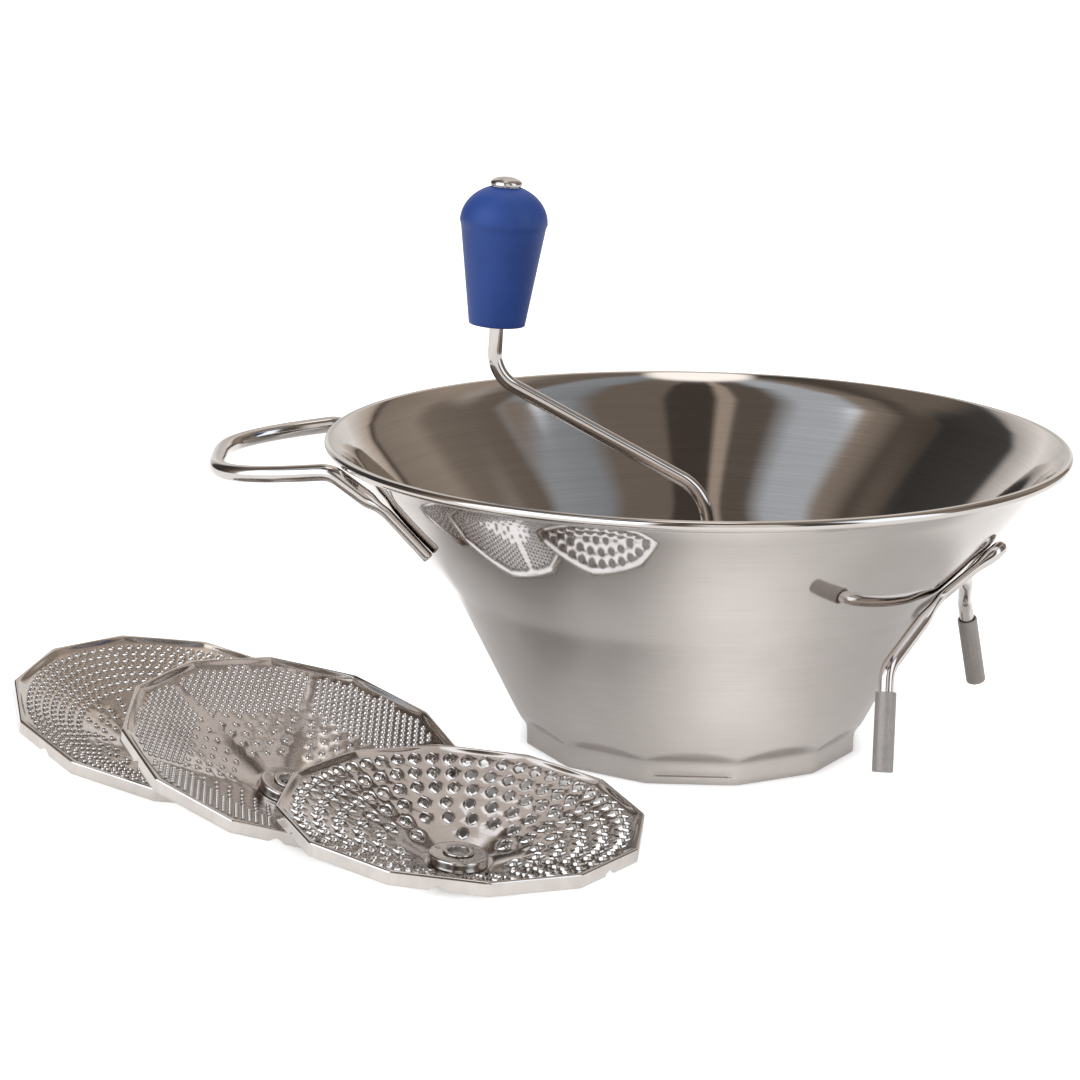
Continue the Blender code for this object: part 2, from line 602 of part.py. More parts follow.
def build_knob_collar():
    """Ring pressed on the grip pin; it carries the knob."""
    bore = CRANK_WIRE_RADIUS + SEAT_GAP
    outline = [(bore, 0), (COLLAR_RADIUS, 0), (COLLAR_RADIUS, COLLAR_HEIGHT),
               (bore, COLLAR_HEIGHT)]
    made = turned("knob_collar", outline, 14, steel("collar steel", 0.3))
    return moved(made, grip_frame() @ Matrix.Translation((0, 0, KNOB_START + SEAT_GAP)))


def build_knob_washer():
    bore = SCREW_SHANK_RADIUS + SEAT_GAP
    outline = [(bore, 0), (KNOB_WASHER_RADIUS, 0),
               (KNOB_WASHER_RADIUS, KNOB_WASHER_THICKNESS), (bore, KNOB_WASHER_THICKNESS)]
    made = turned("knob_washer", outline, 14, steel("washer steel", 0.3))
    rise = KNOB_START + KNOB_LENGTH - KNOB_WASHER_THICKNESS
    return moved(made, grip_frame() @ Matrix.Translation((0, 0, rise)))


def build_knob_screw():
    """Domed head on a shank that enters the end of the grip pin."""
    seat = 2 * SEAT_GAP
    head = SCREW_HEAD_RADIUS
    height = SCREW_HEAD_HEIGHT
    outline = [(0, -SCREW_DEPTH), (SCREW_SHANK_RADIUS, -SCREW_DEPTH), (SCREW_SHANK_RADIUS, seat),
               (head * 0.94, seat), (head, seat + height * 0.2)]
    steps = 4
    for k in range(1, steps):
        angle = pi / 2 * k / steps
        outline.append((head * cos(angle), seat + height * (0.2 + 0.8 * sin(angle))))
    outline.append((0, seat + height))
    made = turned("knob_screw", outline, 14, steel("screw steel", 0.15), radians(40))
    return moved(made, grip_frame() @ Matrix.Translation((0, 0, KNOB_START + KNOB_LENGTH)))


def screw_hole():
    """Cutter for the blind hole in the end of the grip pin."""
    grip = grip_frame()
    top = KNOB_START + KNOB_LENGTH
    low = grip @ Vector((0, 0, top - SCREW_DEPTH - SEAT_GAP))
    high = grip @ Vector((0, 0, top + OVERRUN))
    return cutter("screw_hole", *rod_mesh(low, high, SCREW_SHANK_RADIUS + SEAT_GAP, 14))


def cross_hole(name, height, radius, half_length):
    """Cutter for a cross hole through the shaft."""
    reach = half_length + OVERRUN
    return cutter(name, *rod_mesh(Vector((0, -reach, height)), Vector((0, reach, height)),
                                  radius + SEAT_GAP, 10))


def bar_top():
    return BAR_CROWN_HEIGHT + BAR_THICKNESS


def hub_foot():
    return bar_top() + SEAT_GAP + BUSH_FLANGE_THICKNESS + SEAT_GAP


def build_bar():
    """Arched steel bar across the seat; its tongues lie under the ridges of two flats."""
    tip = BASE_FACET_RADIUS - SHEET - BAR_TIP_CLEARANCE
    tongue_top = RIDGE_HEIGHT - RIDGE_HALF_WIDTH - SEAT_GAP
    tongue = tongue_top - BAR_THICKNESS
    stations = [(-tip, tongue, BAR_TONGUE_HALF_WIDTH),
                (-tip + BAR_TONGUE_LENGTH, tongue, BAR_HALF_WIDTH),
                (-BAR_CROWN_HALF_LENGTH, BAR_CROWN_HEIGHT, BAR_HALF_WIDTH),
                (BAR_CROWN_HALF_LENGTH, BAR_CROWN_HEIGHT, BAR_HALF_WIDTH),
                (tip - BAR_TONGUE_LENGTH, tongue, BAR_HALF_WIDTH),
                (tip, tongue, BAR_TONGUE_HALF_WIDTH)]
    rings = []
    for along, under, half in stations:
        rings.append([Vector((along, -half, under)), Vector((along, half, under)),
                      Vector((along, half, under + BAR_THICKNESS)),
                      Vector((along, -half, under + BAR_THICKNESS))])
    made = solid("retaining_bar", *joined_rings(rings), steel("bar steel", 0.3))
    bevel = made.modifiers.new("Edges", "BEVEL")
    bevel.width = BAR_THICKNESS / 6
    bevel.segments = 1
    bevel.angle_limit = radians(40)
    hole = cutter("bar_hole", *rod_mesh(Vector((0, 0, BAR_CROWN_HEIGHT - OVERRUN)),
                                        Vector((0, 0, bar_top() + OVERRUN)),
                                        BUSH_RADIUS + SEAT_GAP, 20))
    cut(made, hole)
    return moved(made, Matrix.Rotation(FACET_CORNER_AZIMUTH - FACET_ANGLE / 2, 4, "Z"))


def build_bush():
    """Flanged bush in the bar; the shaft runs in it."""
    bore = CRANK_WIRE_RADIUS + RUNNING_GAP
    flange = bar_top() + SEAT_GAP
    outline = [(bore, BAR_CROWN_HEIGHT), (BUSH_RADIUS, BAR_CROWN_HEIGHT), (BUSH_RADIUS, flange),
               (BUSH_FLANGE_RADIUS, flange), (BUSH_FLANGE_RADIUS, flange + BUSH_FLANGE_THICKNESS),
               (bore, flange + BUSH_FLANGE_THICKNESS)]
    return turned("bar_bush", outline, 14, material("brass", (0.62, 0.44, 0.18), 0.35, 1.0))


def upper_washer_bottom():
    return BAR_CROWN_HEIGHT - SEAT_GAP - WASHER_THICKNESS


def lower_washer_bottom():
    return LOCK_PIN_HEIGHT + LOCK_PIN_RADIUS + SEAT_GAP


def build_washer(name, bottom):
    bore = CRANK_WIRE_RADIUS + RUNNING_GAP
    outline = [(bore, bottom), (WASHER_RADIUS, bottom), (WASHER_RADIUS, bottom + WASHER_THICKNESS),
               (bore, bottom + WASHER_THICKNESS)]
    return turned(name, outline, 14, steel("washer steel", 0.3))


def build_spring():
    """Compression spring round the shaft, one unbroken helix between the washers."""
    low = lower_washer_bottom() + WASHER_THICKNESS + SEAT_GAP + SPRING_WIRE_RADIUS
    high = upper_washer_bottom() - SEAT_GAP - SPRING_WIRE_RADIUS
    steps = int(SPRING_TURNS * 8)
    path = []
    for k in range(steps + 1):
        angle = 2 * pi * SPRING_TURNS * k / steps
        path.append(Vector((SPRING_MEAN_RADIUS * cos(angle), SPRING_MEAN_RADIUS * sin(angle),
                            low + (high - low) * k / steps)))
    radii = [SPRING_WIRE_RADIUS] * len(path)
    pitch = (high - low) / SPRING_TURNS
    print("spring: least gap between turns", round((pitch - 2 * SPRING_WIRE_RADIUS) / MM, 2), "mm")
    vertices, faces = swept(path, [Vector((0, 0, 1))] * len(path), radii, radii, 6)
    return solid("pressure_spring", vertices, faces, steel("spring steel", 0.3), radians(60))


def build_cross_pin(name, height, radius, length):
    half = Vector((0, length / 2, 0))
    centre = Vector((0, 0, height))
    return solid(name, *rod_mesh(centre - half, centre + half, radius, 10),
                 steel("pin steel", 0.25))


def build_hub(pin_hole):
    """Turned hub of the scraper with a nose that seats on the bush."""
    bore = CRANK_WIRE_RADIUS + SEAT_GAP
    foot = hub_foot()
    nose = foot + HUB_NOSE_LENGTH
    shoulder = nose + HUB_SHOULDER_THICKNESS
    outline = [(bore, foot), (HUB_NOSE_RADIUS - HUB_CHAMFER, foot),
               (HUB_NOSE_RADIUS, foot + HUB_CHAMFER), (HUB_NOSE_RADIUS, nose),
               (HUB_SHOULDER_RADIUS, nose), (HUB_SHOULDER_RADIUS, shoulder - HUB_CHAMFER / 2),
               (HUB_BARREL_RADIUS, shoulder),
               (HUB_BARREL_RADIUS, HUB_TOP_HEIGHT - HUB_CHAMFER),
               (HUB_BARREL_RADIUS - HUB_CHAMFER, HUB_TOP_HEIGHT), (bore, HUB_TOP_HEIGHT)]
    made = turned("blade_hub", outline, 18, steel("hub steel", 0.2))
    cut(made, pin_hole)
    return made


def dome_height(radius):
    """Height of a fitted disk's top above the table, dished upward on the seat ridge."""
    rim = RIDGE_HEIGHT + RIDGE_HALF_WIDTH + DISK_SHEET
    return rim + DISK_LAND_DROP + (DISK_LAND_RADIUS - radius) * tan(DISK_SLOPE)


def build_blade():
    """Scraper blade: a ramp that wraps the hub and presses its trailing edge on the disk."""
    inner = HUB_BARREL_RADIUS + SEAT_GAP
    start = hub_foot() + HUB_NOSE_LENGTH + HUB_SHOULDER_THICKNESS + SEAT_GAP
    columns, rows = 16, 4
    ledge = HUB_SHOULDER_RADIUS + BLADE_THICKNESS
    lower, upper = [], []
    for i in range(columns + 1):
        turn = i / columns
        azimuth = BLADE_LEAD_AZIMUTH - BLADE_SWEEP * turn
        tip = BLADE_TIP_RADIUS * (1 - (1 - BLADE_TRAIL_SHARE) * (1 - sin(pi * turn)) ** 2)
        climb = BLADE_RISE * (1 - turn) ** 1.5
        radii = [inner, ledge] + [ledge + (tip - ledge) * j / (rows - 1) for j in range(1, rows)]
        for j, radius in enumerate(radii):
            low = dome_height(radius) + BLADE_LIFT + climb * (1 + j / rows) / 2
            if j < 2:
                low = max(low, start)
            lower.append(polar(radius, 0, low, azimuth))
            upper.append(polar(radius, 0, low + BLADE_THICKNESS, azimuth))
    width = rows + 1
    count = len(lower)
    faces = []
    for i in range(columns):
        for j in range(rows):
            a = i * width + j
            faces.append((a, a + 1, a + width + 1, a + width))
            faces.append((count + a, count + a + width, count + a + width + 1, count + a + 1))
    border = [i * width for i in range(columns)] + [columns * width + j for j in range(rows)]
    border += [i * width + rows for i in range(columns, 0, -1)] + list(range(rows, 0, -1))
    for a, b in zip(border, border[1:] + border[:1]):
        faces.append((a, b, count + b, count + a))
    return solid("scraper_blade", lower + upper, faces, steel("blade steel", 0.15), radians(35))


def disk_radius(azimuth, inset):
    """Radius of the disk's twelve sided rim, inset square to its flats."""
    flat = DISK_CORNER_RADIUS * cos(FACET_ANGLE / 2) - inset
    return flat / cos(azimuth % FACET_ANGLE - FACET_ANGLE / 2)


def dish_point(radius, azimuth, under):
    """A point on the dish's cone, or on its underside."""
    drop = DISK_LAND_DROP + (DISK_LAND_RADIUS - radius) * tan(DISK_SLOPE)
    return polar(radius, 0, -drop - under * DISK_SHEET, azimuth)


def dish_radii(grade):
    """Ring radii from the land to the floor; hole rings alternate with solid ones."""
    rings = HOLE_RINGS[grade]
    share = HOLE_SHARES[grade]
    pitch = (DISK_LAND_RADIUS - DISK_FLOOR_RADIUS) / (rings + 0.5)
    radii, open_bands = [], []
    for k in range(rings):
        outer = DISK_LAND_RADIUS - pitch * (k + (1 - share) / 2)
        radii += [outer, outer - pitch * share]
        open_bands.append(2 * k + 1)
    return [DISK_LAND_RADIUS] + radii + [DISK_FLOOR_RADIUS], open_bands


def build_disk(grade):
    """Dished sheet disk with a twelve sided skirt and rings of open perforations."""
    columns = FACETS * DISK_COLUMNS_PER_FACET
    azimuths = [2 * pi * k / columns for k in range(columns)]
    radii, open_bands = dish_radii(grade)
    skirt = DISK_SKIRT_DEPTH
    turn = DISK_EDGE_ROUND
    top, under = [], []
    top.append([polar(disk_radius(a, 0), 0, -skirt, a) for a in azimuths])
    top.append([polar(disk_radius(a, 0), 0, -turn, a) for a in azimuths])
    top.append([polar(disk_radius(a, turn * 0.3), 0, -turn * 0.3, a) for a in azimuths])
    top.append([polar(disk_radius(a, turn), 0, 0, a) for a in azimuths])
    under.append([polar(disk_radius(a, DISK_SHEET), 0, -skirt, a) for a in azimuths])
    under.append([polar(disk_radius(a, DISK_SHEET), 0, -turn - DISK_SHEET / 2, a)
                  for a in azimuths])
    under.append([polar(disk_radius(a, DISK_SHEET + turn * 0.3), 0, -turn * 0.3 - DISK_SHEET, a)
                  for a in azimuths])
    under.append([polar(disk_radius(a, DISK_SHEET + turn), 0, -DISK_SHEET - turn * 0.4, a)
                  for a in azimuths])
    plain = len(top)
    for radius in radii:
        top.append([dish_point(radius, a, 0) for a in azimuths])
        under.append([dish_point(radius, a, 1) for a in azimuths])
    floor = -DISK_DISH_DEPTH
    top.append([polar(DISK_BORE_RADIUS, 0, floor, a) for a in azimuths])
    under.append([polar(DISK_BORE_RADIUS, 0, floor - DISK_SHEET, a) for a in azimuths])
    rows = len(top)
    vertices = [p for ring in top for p in ring] + [p for ring in under for p in ring]
    shift = rows * columns
    opened = {(plain + band, k) for band in open_bands for k in range(columns)
              if (k + band // 2) % 2 == 0}
    faces = []
    for row in range(rows - 1):
        for k in range(columns):
            if (row, k) in opened:
                continue
            step = (k + 1) % columns
            quad = (row * columns + k, row * columns + step,
                    (row + 1) * columns + step, (row + 1) * columns + k)
            faces.append(quad)
            faces.append(tuple(shift + v for v in quad[::-1]))
    for row, k in opened:
        step = (k + 1) % columns
        loop = [row * columns + k, row * columns + step,
                (row + 1) * columns + step, (row + 1) * columns + k]
        for a, b in zip(loop, loop[1:] + loop[:1]):
            faces.append((a, b, shift + b, shift + a))
    for k in range(columns):
        step = (k + 1) % columns
        faces.append((k, step, shift + step, shift + k))
        inner = (rows - 1) * columns
        faces.append((inner + k, inner + step, shift + inner + step, shift + inner + k))
    look = steel(grade + " disk steel", 0.2)
    made = solid("disk_" + grade, vertices, faces, look, radians(30))
    cut(made, notches(grade))
    return made


def notches(grade):
    """Six tapered notches for the lower edge of the skirt, one on every second flat."""
    vertices, faces = [], []
    reach = DISK_CORNER_RADIUS * cos(FACET_ANGLE / 2)
    for k in range(FACETS // 2):
        azimuth = FACET_ANGLE * (2 * k + 0.5)
        low = -DISK_SKIRT_DEPTH - OVERRUN
        high = -DISK_SKIRT_DEPTH + NOTCH_DEPTH
        rings = []
        for radius in (reach - DISK_SHEET - OVERRUN, reach + OVERRUN):
            rings.append([polar(radius, -NOTCH_WIDTH / 2, low, azimuth),
                          polar(radius, NOTCH_WIDTH / 2, low, azimuth),
                          polar(radius, NOTCH_WIDTH / 2 * NOTCH_TAPER_SHARE, high, azimuth),
                          polar(radius, -NOTCH_WIDTH / 2 * NOTCH_TAPER_SHARE, high, azimuth)])
        points, sides = joined_rings(rings)
        faces += [tuple(len(vertices) + v for v in side) for side in sides]
        vertices += points
    return cutter("notches_" + grade, vertices, faces)


def build_cap(grade):
    """Pressed cap welded on the dish's floor round the disk's hole."""
    floor = -DISK_DISH_DEPTH + SEAT_GAP
    top = -DISK_DISH_DEPTH + CAP_HEIGHT
    hole = EYELET_BARREL_RADIUS + SEAT_GAP
    outline = [(CAP_RADIUS - CAP_SHEET, floor), (CAP_RADIUS, floor),
               (CAP_RADIUS, top - CAP_EDGE_ROUND),
               (CAP_RADIUS - CAP_EDGE_ROUND * 0.3, top - CAP_EDGE_ROUND * 0.3),
               (CAP_RADIUS - CAP_EDGE_ROUND, top), (hole, top), (hole, top - CAP_SHEET),
               (CAP_RADIUS - CAP_SHEET - CAP_EDGE_ROUND / 2, top - CAP_SHEET)]
    return turned("hub_cap_" + grade, outline, 16, steel("cap steel", 0.25))


def build_eyelet(grade):
    """Flanged eyelet in the cap; the crank's shaft passes through it."""
    top = -DISK_DISH_DEPTH + CAP_HEIGHT + SEAT_GAP
    foot = top - SEAT_GAP - 2 * CAP_SHEET
    hole = EYELET_BARREL_RADIUS - EYELET_WALL
    flange = EYELET_BARREL_RADIUS + EYELET_FLANGE_LAP
    outline = [(hole, foot), (EYELET_BARREL_RADIUS, foot),
               (EYELET_BARREL_RADIUS, top), (flange, top),
               (flange - EYELET_FLANGE_THICKNESS / 2, top + EYELET_FLANGE_THICKNESS),
               (hole, top + EYELET_FLANGE_THICKNESS)]
    return turned("eyelet_" + grade, outline, 12, steel("eyelet steel", 0.2))


def disk_frame(grade):
    """Resting place of a disk: tilted on the foot of its dish, which touches the table."""
    (along, across), lift, tilt, downhill, turn = DISK_PLACE_SHARES[grade]
    depth = DISK_DISH_DEPTH + DISK_SHEET
    height = depth * cos(tilt) + DISK_FLOOR_RADIUS * sin(tilt)
    place = Vector((along, across, lift)) * DISK_CORNER_RADIUS + Vector((0, 0, height))
    lean = Matrix.Rotation(downhill, 4, "Z") @ Matrix.Rotation(tilt, 4, "Y")
    return Matrix.Translation(place) @ lean @ Matrix.Rotation(turn - downhill, 4, "Z")


def build_disks():
    for grade in DISK_PLACE_SHARES:
        place = disk_frame(grade)
        for piece in (build_disk(grade), build_cap(grade), build_eyelet(grade)):
            moved(piece, place)
        hidden = bpy.data.objects["notches_" + grade]
        moved(hidden, place)


def build_rotor():
    lock_hole = cross_hole("lock_pin_hole", LOCK_PIN_HEIGHT, LOCK_PIN_RADIUS, CRANK_WIRE_RADIUS)
    hub_hole = cross_hole("hub_pin_hole", HUB_PIN_HEIGHT, HUB_PIN_RADIUS, HUB_BARREL_RADIUS)
    build_crank([lock_hole, hub_hole, screw_hole()])
    build_hub(hub_hole)
    build_blade()
    build_cross_pin("hub_pin", HUB_PIN_HEIGHT, HUB_PIN_RADIUS, 2 * HUB_BARREL_RADIUS)
    build_cross_pin("lock_pin", LOCK_PIN_HEIGHT, LOCK_PIN_RADIUS, LOCK_PIN_LENGTH)
    build_knob_collar()
    build_knob_washer()
    build_knob_screw()
    build_knob()


def build_seat_parts():
    build_bar()
    build_bush()
    build_washer("spring_washer_upper", upper_washer_bottom())
    build_washer("spring_washer_lower", lower_washer_bottom())
    build_spring()


clear_scene()
build_bowl()
build_handle()
build_support()
build_sleeve("foot_sleeve_near", -1)
build_sleeve("foot_sleeve_far", 1)
build_seat_parts()
build_rotor()
build_disks()
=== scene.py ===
# %% [markdown]
# # A hand cranked food mill and its three disks
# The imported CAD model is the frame: it says where every piece is and how it moves. This lesson dresses it. Most pieces
# are made again as fine surfaces worked out with numpy, because pressed sheet and bent wire are smooth, and polished
# steel shows every facet. Each new piece takes the place of its CAD node and rides on the same body.

# %% Load the frame and note the size of the CAD model
from math import cos, pi, radians, sin, sqrt, tan

import bpy
import numpy as np
from mathutils import Matrix, Vector
from mathutils.geometry import delaunay_2d_cdt


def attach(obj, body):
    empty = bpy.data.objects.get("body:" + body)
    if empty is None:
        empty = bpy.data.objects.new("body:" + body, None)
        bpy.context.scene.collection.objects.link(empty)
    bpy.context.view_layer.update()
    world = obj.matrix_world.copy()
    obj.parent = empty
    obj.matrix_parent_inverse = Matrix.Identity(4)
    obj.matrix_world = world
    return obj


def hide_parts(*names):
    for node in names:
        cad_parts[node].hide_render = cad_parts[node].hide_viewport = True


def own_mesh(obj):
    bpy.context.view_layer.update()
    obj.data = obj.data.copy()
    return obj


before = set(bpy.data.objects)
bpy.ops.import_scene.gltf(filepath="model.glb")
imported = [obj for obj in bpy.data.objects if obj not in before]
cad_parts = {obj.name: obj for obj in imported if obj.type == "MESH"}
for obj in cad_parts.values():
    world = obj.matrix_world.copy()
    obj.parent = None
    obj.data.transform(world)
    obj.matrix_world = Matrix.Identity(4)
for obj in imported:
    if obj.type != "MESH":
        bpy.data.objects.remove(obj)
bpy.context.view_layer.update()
MM = 0.001

# %% [markdown]
# ## From formulas to meshes
# A sheet or a wire is a surface with two parameters, so its points come as a grid of rows and columns. A grid that
# closes on itself is made by wrapping its faces round, and points that fall on one another, as at a pole, are made one
# point. numpy does both for the whole grid at once.

# %% Grid faces, welding and making an object
def grid_faces(rows, columns, wrap_rows=False, wrap_columns=True):
    """Quads between neighbouring points of a grid; a wrapped way joins its last line to its first."""
    row = np.arange(rows if wrap_rows else rows - 1)[:, None]
    column = np.arange(columns if wrap_columns else columns - 1)[None, :]
    next_row, next_column = (row + 1) % rows, (column + 1) % columns
    corners = [row * columns + column, row * columns + next_column,
               next_row * columns + next_column, next_row * columns + column]
    return np.stack([np.broadcast_to(c, (len(row), column.shape[1])) for c in corners], -1).reshape(-1, 4)


def welded(points, quads, marks):
    """Makes points closer than a ten thousandth of a millimetre one, and drops faces that this closes."""
    keys = np.round(points / (0.0001 * MM)).astype(np.int64)
    _, first, where = np.unique(keys, axis=0, return_index=True, return_inverse=True)
    quads = where.reshape(-1)[quads]
    doubled = quads == np.roll(quads, -1, axis=1)
    crossed = (quads[:, 0] == quads[:, 2]) | (quads[:, 1] == quads[:, 3])
    keep = (doubled.sum(1) < 2) & ~crossed
    return first, quads[keep], doubled[keep], marks[keep]


def piece(name, points, quads, body, looks, node=None, marks=None, local=None, smooth=38.0, outward=True):
    """One object from points in millimetres and quads. marks picks a look for each face, local is a
    second set of coordinates kept on the points for the material."""
    points = np.asarray(points, float).reshape(-1, 3) * MM
    marks = np.zeros(len(quads), int) if marks is None else marks
    first, quads, doubled, marks = welded(points, quads, marks)
    corners = np.where(doubled, -1, quads)
    keep = corners.reshape(-1) >= 0
    sizes = 4 - doubled.sum(1)
    mesh = bpy.data.meshes.new(name)
    mesh.vertices.add(len(first))
    mesh.vertices.foreach_set("co", points[first].astype(np.float32).reshape(-1))
    mesh.loops.add(int(sizes.sum()))
    mesh.loops.foreach_set("vertex_index", corners.reshape(-1)[keep].astype(np.int32))
    mesh.polygons.add(len(sizes))
    mesh.polygons.foreach_set("loop_start", (np.cumsum(sizes) - sizes).astype(np.int32))
    mesh.polygons.foreach_set("material_index", marks.astype(np.int32))
    for look in looks if isinstance(looks, list) else [looks]:
        mesh.materials.append(look)
    if local is not None:
        values = np.asarray(local, float).reshape(-1, 3)[first]
        mesh.attributes.new("local", "FLOAT_VECTOR", "POINT").data.foreach_set(
            "vector", values.astype(np.float32).reshape(-1))
    mesh.update(calc_edges=True)
    mesh.validate()
    if outward and volume(mesh) < 0:
        mesh.flip_normals()
    mesh.shade_smooth()
    mesh.set_sharp_from_angle(angle=radians(smooth))
    made = bpy.data.objects.new(name, mesh)
    bpy.context.scene.collection.objects.link(made)
    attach(made, body)
    if node:
        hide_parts(node)
    print(f"{name}: {int((sizes - 2).sum())} triangles, {open_edges(mesh)} open edges")
    return made


def volume(mesh):
    """Signed volume of a closed mesh: a sixth of the sum of each triangle's triple product."""
    mesh.calc_loop_triangles()
    count = len(mesh.loop_triangles)
    index = np.zeros(count * 3, np.int32)
    mesh.loop_triangles.foreach_get("vertices", index)
    place = np.zeros(len(mesh.vertices) * 3, np.float32)
    mesh.vertices.foreach_get("co", place)
    a, b, c = place.reshape(-1, 3)[index.reshape(-1, 3)].transpose(1, 0, 2).astype(float)
    return float(np.einsum("ij,ij->", a, np.cross(b, c)) / 6)


def open_edges(mesh):
    """How many edges of faces have no partner that runs the other way: 0 where a skin is closed and every
    face looks outward."""
    ends = np.zeros(len(mesh.loops), np.int32)
    mesh.loops.foreach_get("vertex_index", ends)
    starts = np.zeros(len(mesh.polygons), np.int32)
    mesh.polygons.foreach_get("loop_start", starts)
    following = np.arange(len(ends)) + 1
    following[np.append(starts[1:], len(ends)) - 1] = starts
    there, back = ends.astype(np.int64) << 32 | ends[following], ends[following].astype(np.int64) << 32 | ends
    return int((~np.isin(there, back)).sum() + len(there) - len(np.unique(there)))


def placed(points, matrix):
    """Turns and moves an array of points by a matrix."""
    matrix = np.array(matrix)
    return points @ matrix[:3, :3].T + matrix[:3, 3]


# %% [markdown]
# ## Shader maths
# A finish is arithmetic on coordinates. Wrapping a socket in a small class lets that arithmetic be written as Python
# expressions, and each operator adds its Math node.

# %% A wire of a node tree
class Wire:
    """An output socket; arithmetic on wires adds Math nodes."""

    def __init__(self, tree, socket=None):
        self.tree = tree
        self.socket = socket

    def make(self, kind, settings=None, inputs=None, out=0):
        """Adds a node of a kind: its settings first, then its inputs as values or wires."""
        node = self.tree.nodes.new(kind)
        for key, value in (settings or {}).items():
            if key == "stops":
                ramp = node.color_ramp
                while len(ramp.elements) < len(value):
                    ramp.elements.new(0.5)
                for element, (place, colour) in zip(ramp.elements, value):
                    element.position = place
                    element.color = colour
            else:
                setattr(node, key, value)
        for key, value in (inputs or {}).items():
            if isinstance(value, Wire):
                self.tree.links.new(value.socket, node.inputs[key])
            else:
                node.inputs[key].default_value = value
        return Wire(self.tree, node.outputs[out])

    def maths(self, operation, *values):
        """A Math node with the given operation, on values or wires."""
        return self.make("ShaderNodeMath", {"operation": operation}, dict(enumerate(values)))

    def __add__(self, other):
        return self.maths("ADD", self, other)

    def __sub__(self, other):
        return self.maths("SUBTRACT", self, other)

    def __rsub__(self, other):
        return self.maths("SUBTRACT", other, self)

    def __mul__(self, other):
        return self.maths("MULTIPLY", self, other)

    def __truediv__(self, other):
        return self.maths("DIVIDE", self, other)

    def __rtruediv__(self, other):
        return self.maths("DIVIDE", other, self)

    __radd__ = __add__
    __rmul__ = __mul__

    def root(self):
        return self.maths("SQRT", self)

    def ramp(self, low, high):
        """0 below low, 1 above high, and a soft step between them."""
        return self.make("ShaderNodeMapRange", {"interpolation_type": "SMOOTHSTEP"},
                         {"Value": self, "From Min": low, "From Max": high})

    def between(self, low, high):
        """Mixes two colours by this wire."""
        return self.make("ShaderNodeMix", {"data_type": "RGBA"},
                         {0: self, 6: low if isinstance(low, Wire) else (*low, 1.0),
                          7: high if isinstance(high, Wire) else (*high, 1.0)}, out=2)

    def noise(self, scale, detail=2.0, roughness=0.5, distortion=0.0):
        """Noise read at this wire's coordinates."""
        return self.make("ShaderNodeTexNoise", None,
                         {"Vector": self, "Scale": scale, "Detail": detail, "Roughness": roughness,
                          "Distortion": distortion})

    def parts(self):
        """The x, y and z wires of a vector."""
        node = self.tree.nodes.new("ShaderNodeSeparateXYZ")
        self.tree.links.new(self.socket, node.inputs[0])
        return [Wire(self.tree, node.outputs[k]) for k in range(3)]

    def joined(self, x, y, z):
        """A vector of three values or wires."""
        return self.make("ShaderNodeCombineXYZ", None, {0: x, 1: y, 2: z})


def ray_kinds(tree):
    """Wires that are 1 where the camera, a mirror or a clear piece looks."""
    camera = Wire(tree).make("ShaderNodeLightPath")
    outputs = camera.socket.node.outputs
    return camera, Wire(tree, outputs["Is Glossy Ray"]), Wire(tree, outputs["Is Transmission Ray"])


def round_place(place):
    """Distance from the z axis, angle round it and height, as wires."""
    x, y, z = place.parts()
    return (x * x + y * y).root(), x.maths("ARCTAN2", y, x), z


def finish(name, constants):
    """A new material: returns it with its tree, shader, and the Object coordinates as a wire. A socket that is
    fed later keeps its constant only for viewers that can't follow wires."""
    made = bpy.data.materials.new(name)
    made.use_nodes = True
    tree = made.node_tree
    shader = tree.nodes["Principled BSDF"]
    for key, value in constants.items():
        shader.inputs[key].default_value = value
    place = Wire(tree).make("ShaderNodeTexCoord", out=3)
    return made, tree, shader, place


def feed(tree, shader, **wires):
    """Links wires to the shader's inputs; underscores in a name stand for spaces."""
    for key, wire in wires.items():
        tree.links.new(wire.socket, shader.inputs[key.replace("_", " ")])


def bump(height, depth, strength=1.0):
    """A Bump node from a height wire; depth is in millimetres."""
    return height.make("ShaderNodeBump", None, {"Height": height, "Distance": depth * MM, "Strength": strength})


# %% [markdown]
# ## Steel finishes
# The bowl is pressed from bright sheet: polished outside, and brushed round and round inside by the finishing lathe.
# Brush lines are noise that is drawn out round the axis, so its coordinates are the height and radius, finely scaled,
# and the angle, coarsely scaled. Anisotropy stretches the reflections across the lines, as on the real bowl.

# %% Bowl outside and inside
STEEL, STEEL_DARK = (0.66, 0.615, 0.585), (0.56, 0.52, 0.49)
SPRING_GREY, BRASS = (0.5, 0.48, 0.46), (0.62, 0.44, 0.20)


def turned_lines(place, fine, coarse):
    """Noise drawn out round the z axis: fine lines along the wall, slow change round it."""
    radius, angle, height = round_place(place)
    return place.joined(radius * fine, height * fine, angle * coarse)


def outside_steel():
    """Polished above the knee and satin below it, with faint lathe lines."""
    made, tree, shader, place = finish("polished_outside", {"Metallic": 1.0, "Roughness": 0.16, "IOR": 2.5})
    cloud = place.noise(14.0, 3.0, 0.55)
    lines = turned_lines(place, 2600.0, 3.0).noise(1.0, 2.0, 0.6)
    satin = place.parts()[2].ramp(0.080, 0.060)
    feed(tree, shader, Base_Color=(cloud * 0.7 + lines * 0.3).ramp(0.3, 0.75).between(STEEL_DARK, STEEL),
         Roughness=0.03 + satin * 0.13 + cloud * 0.03 + lines * 0.02,
         Normal=bump(lines, 0.0006))
    return made


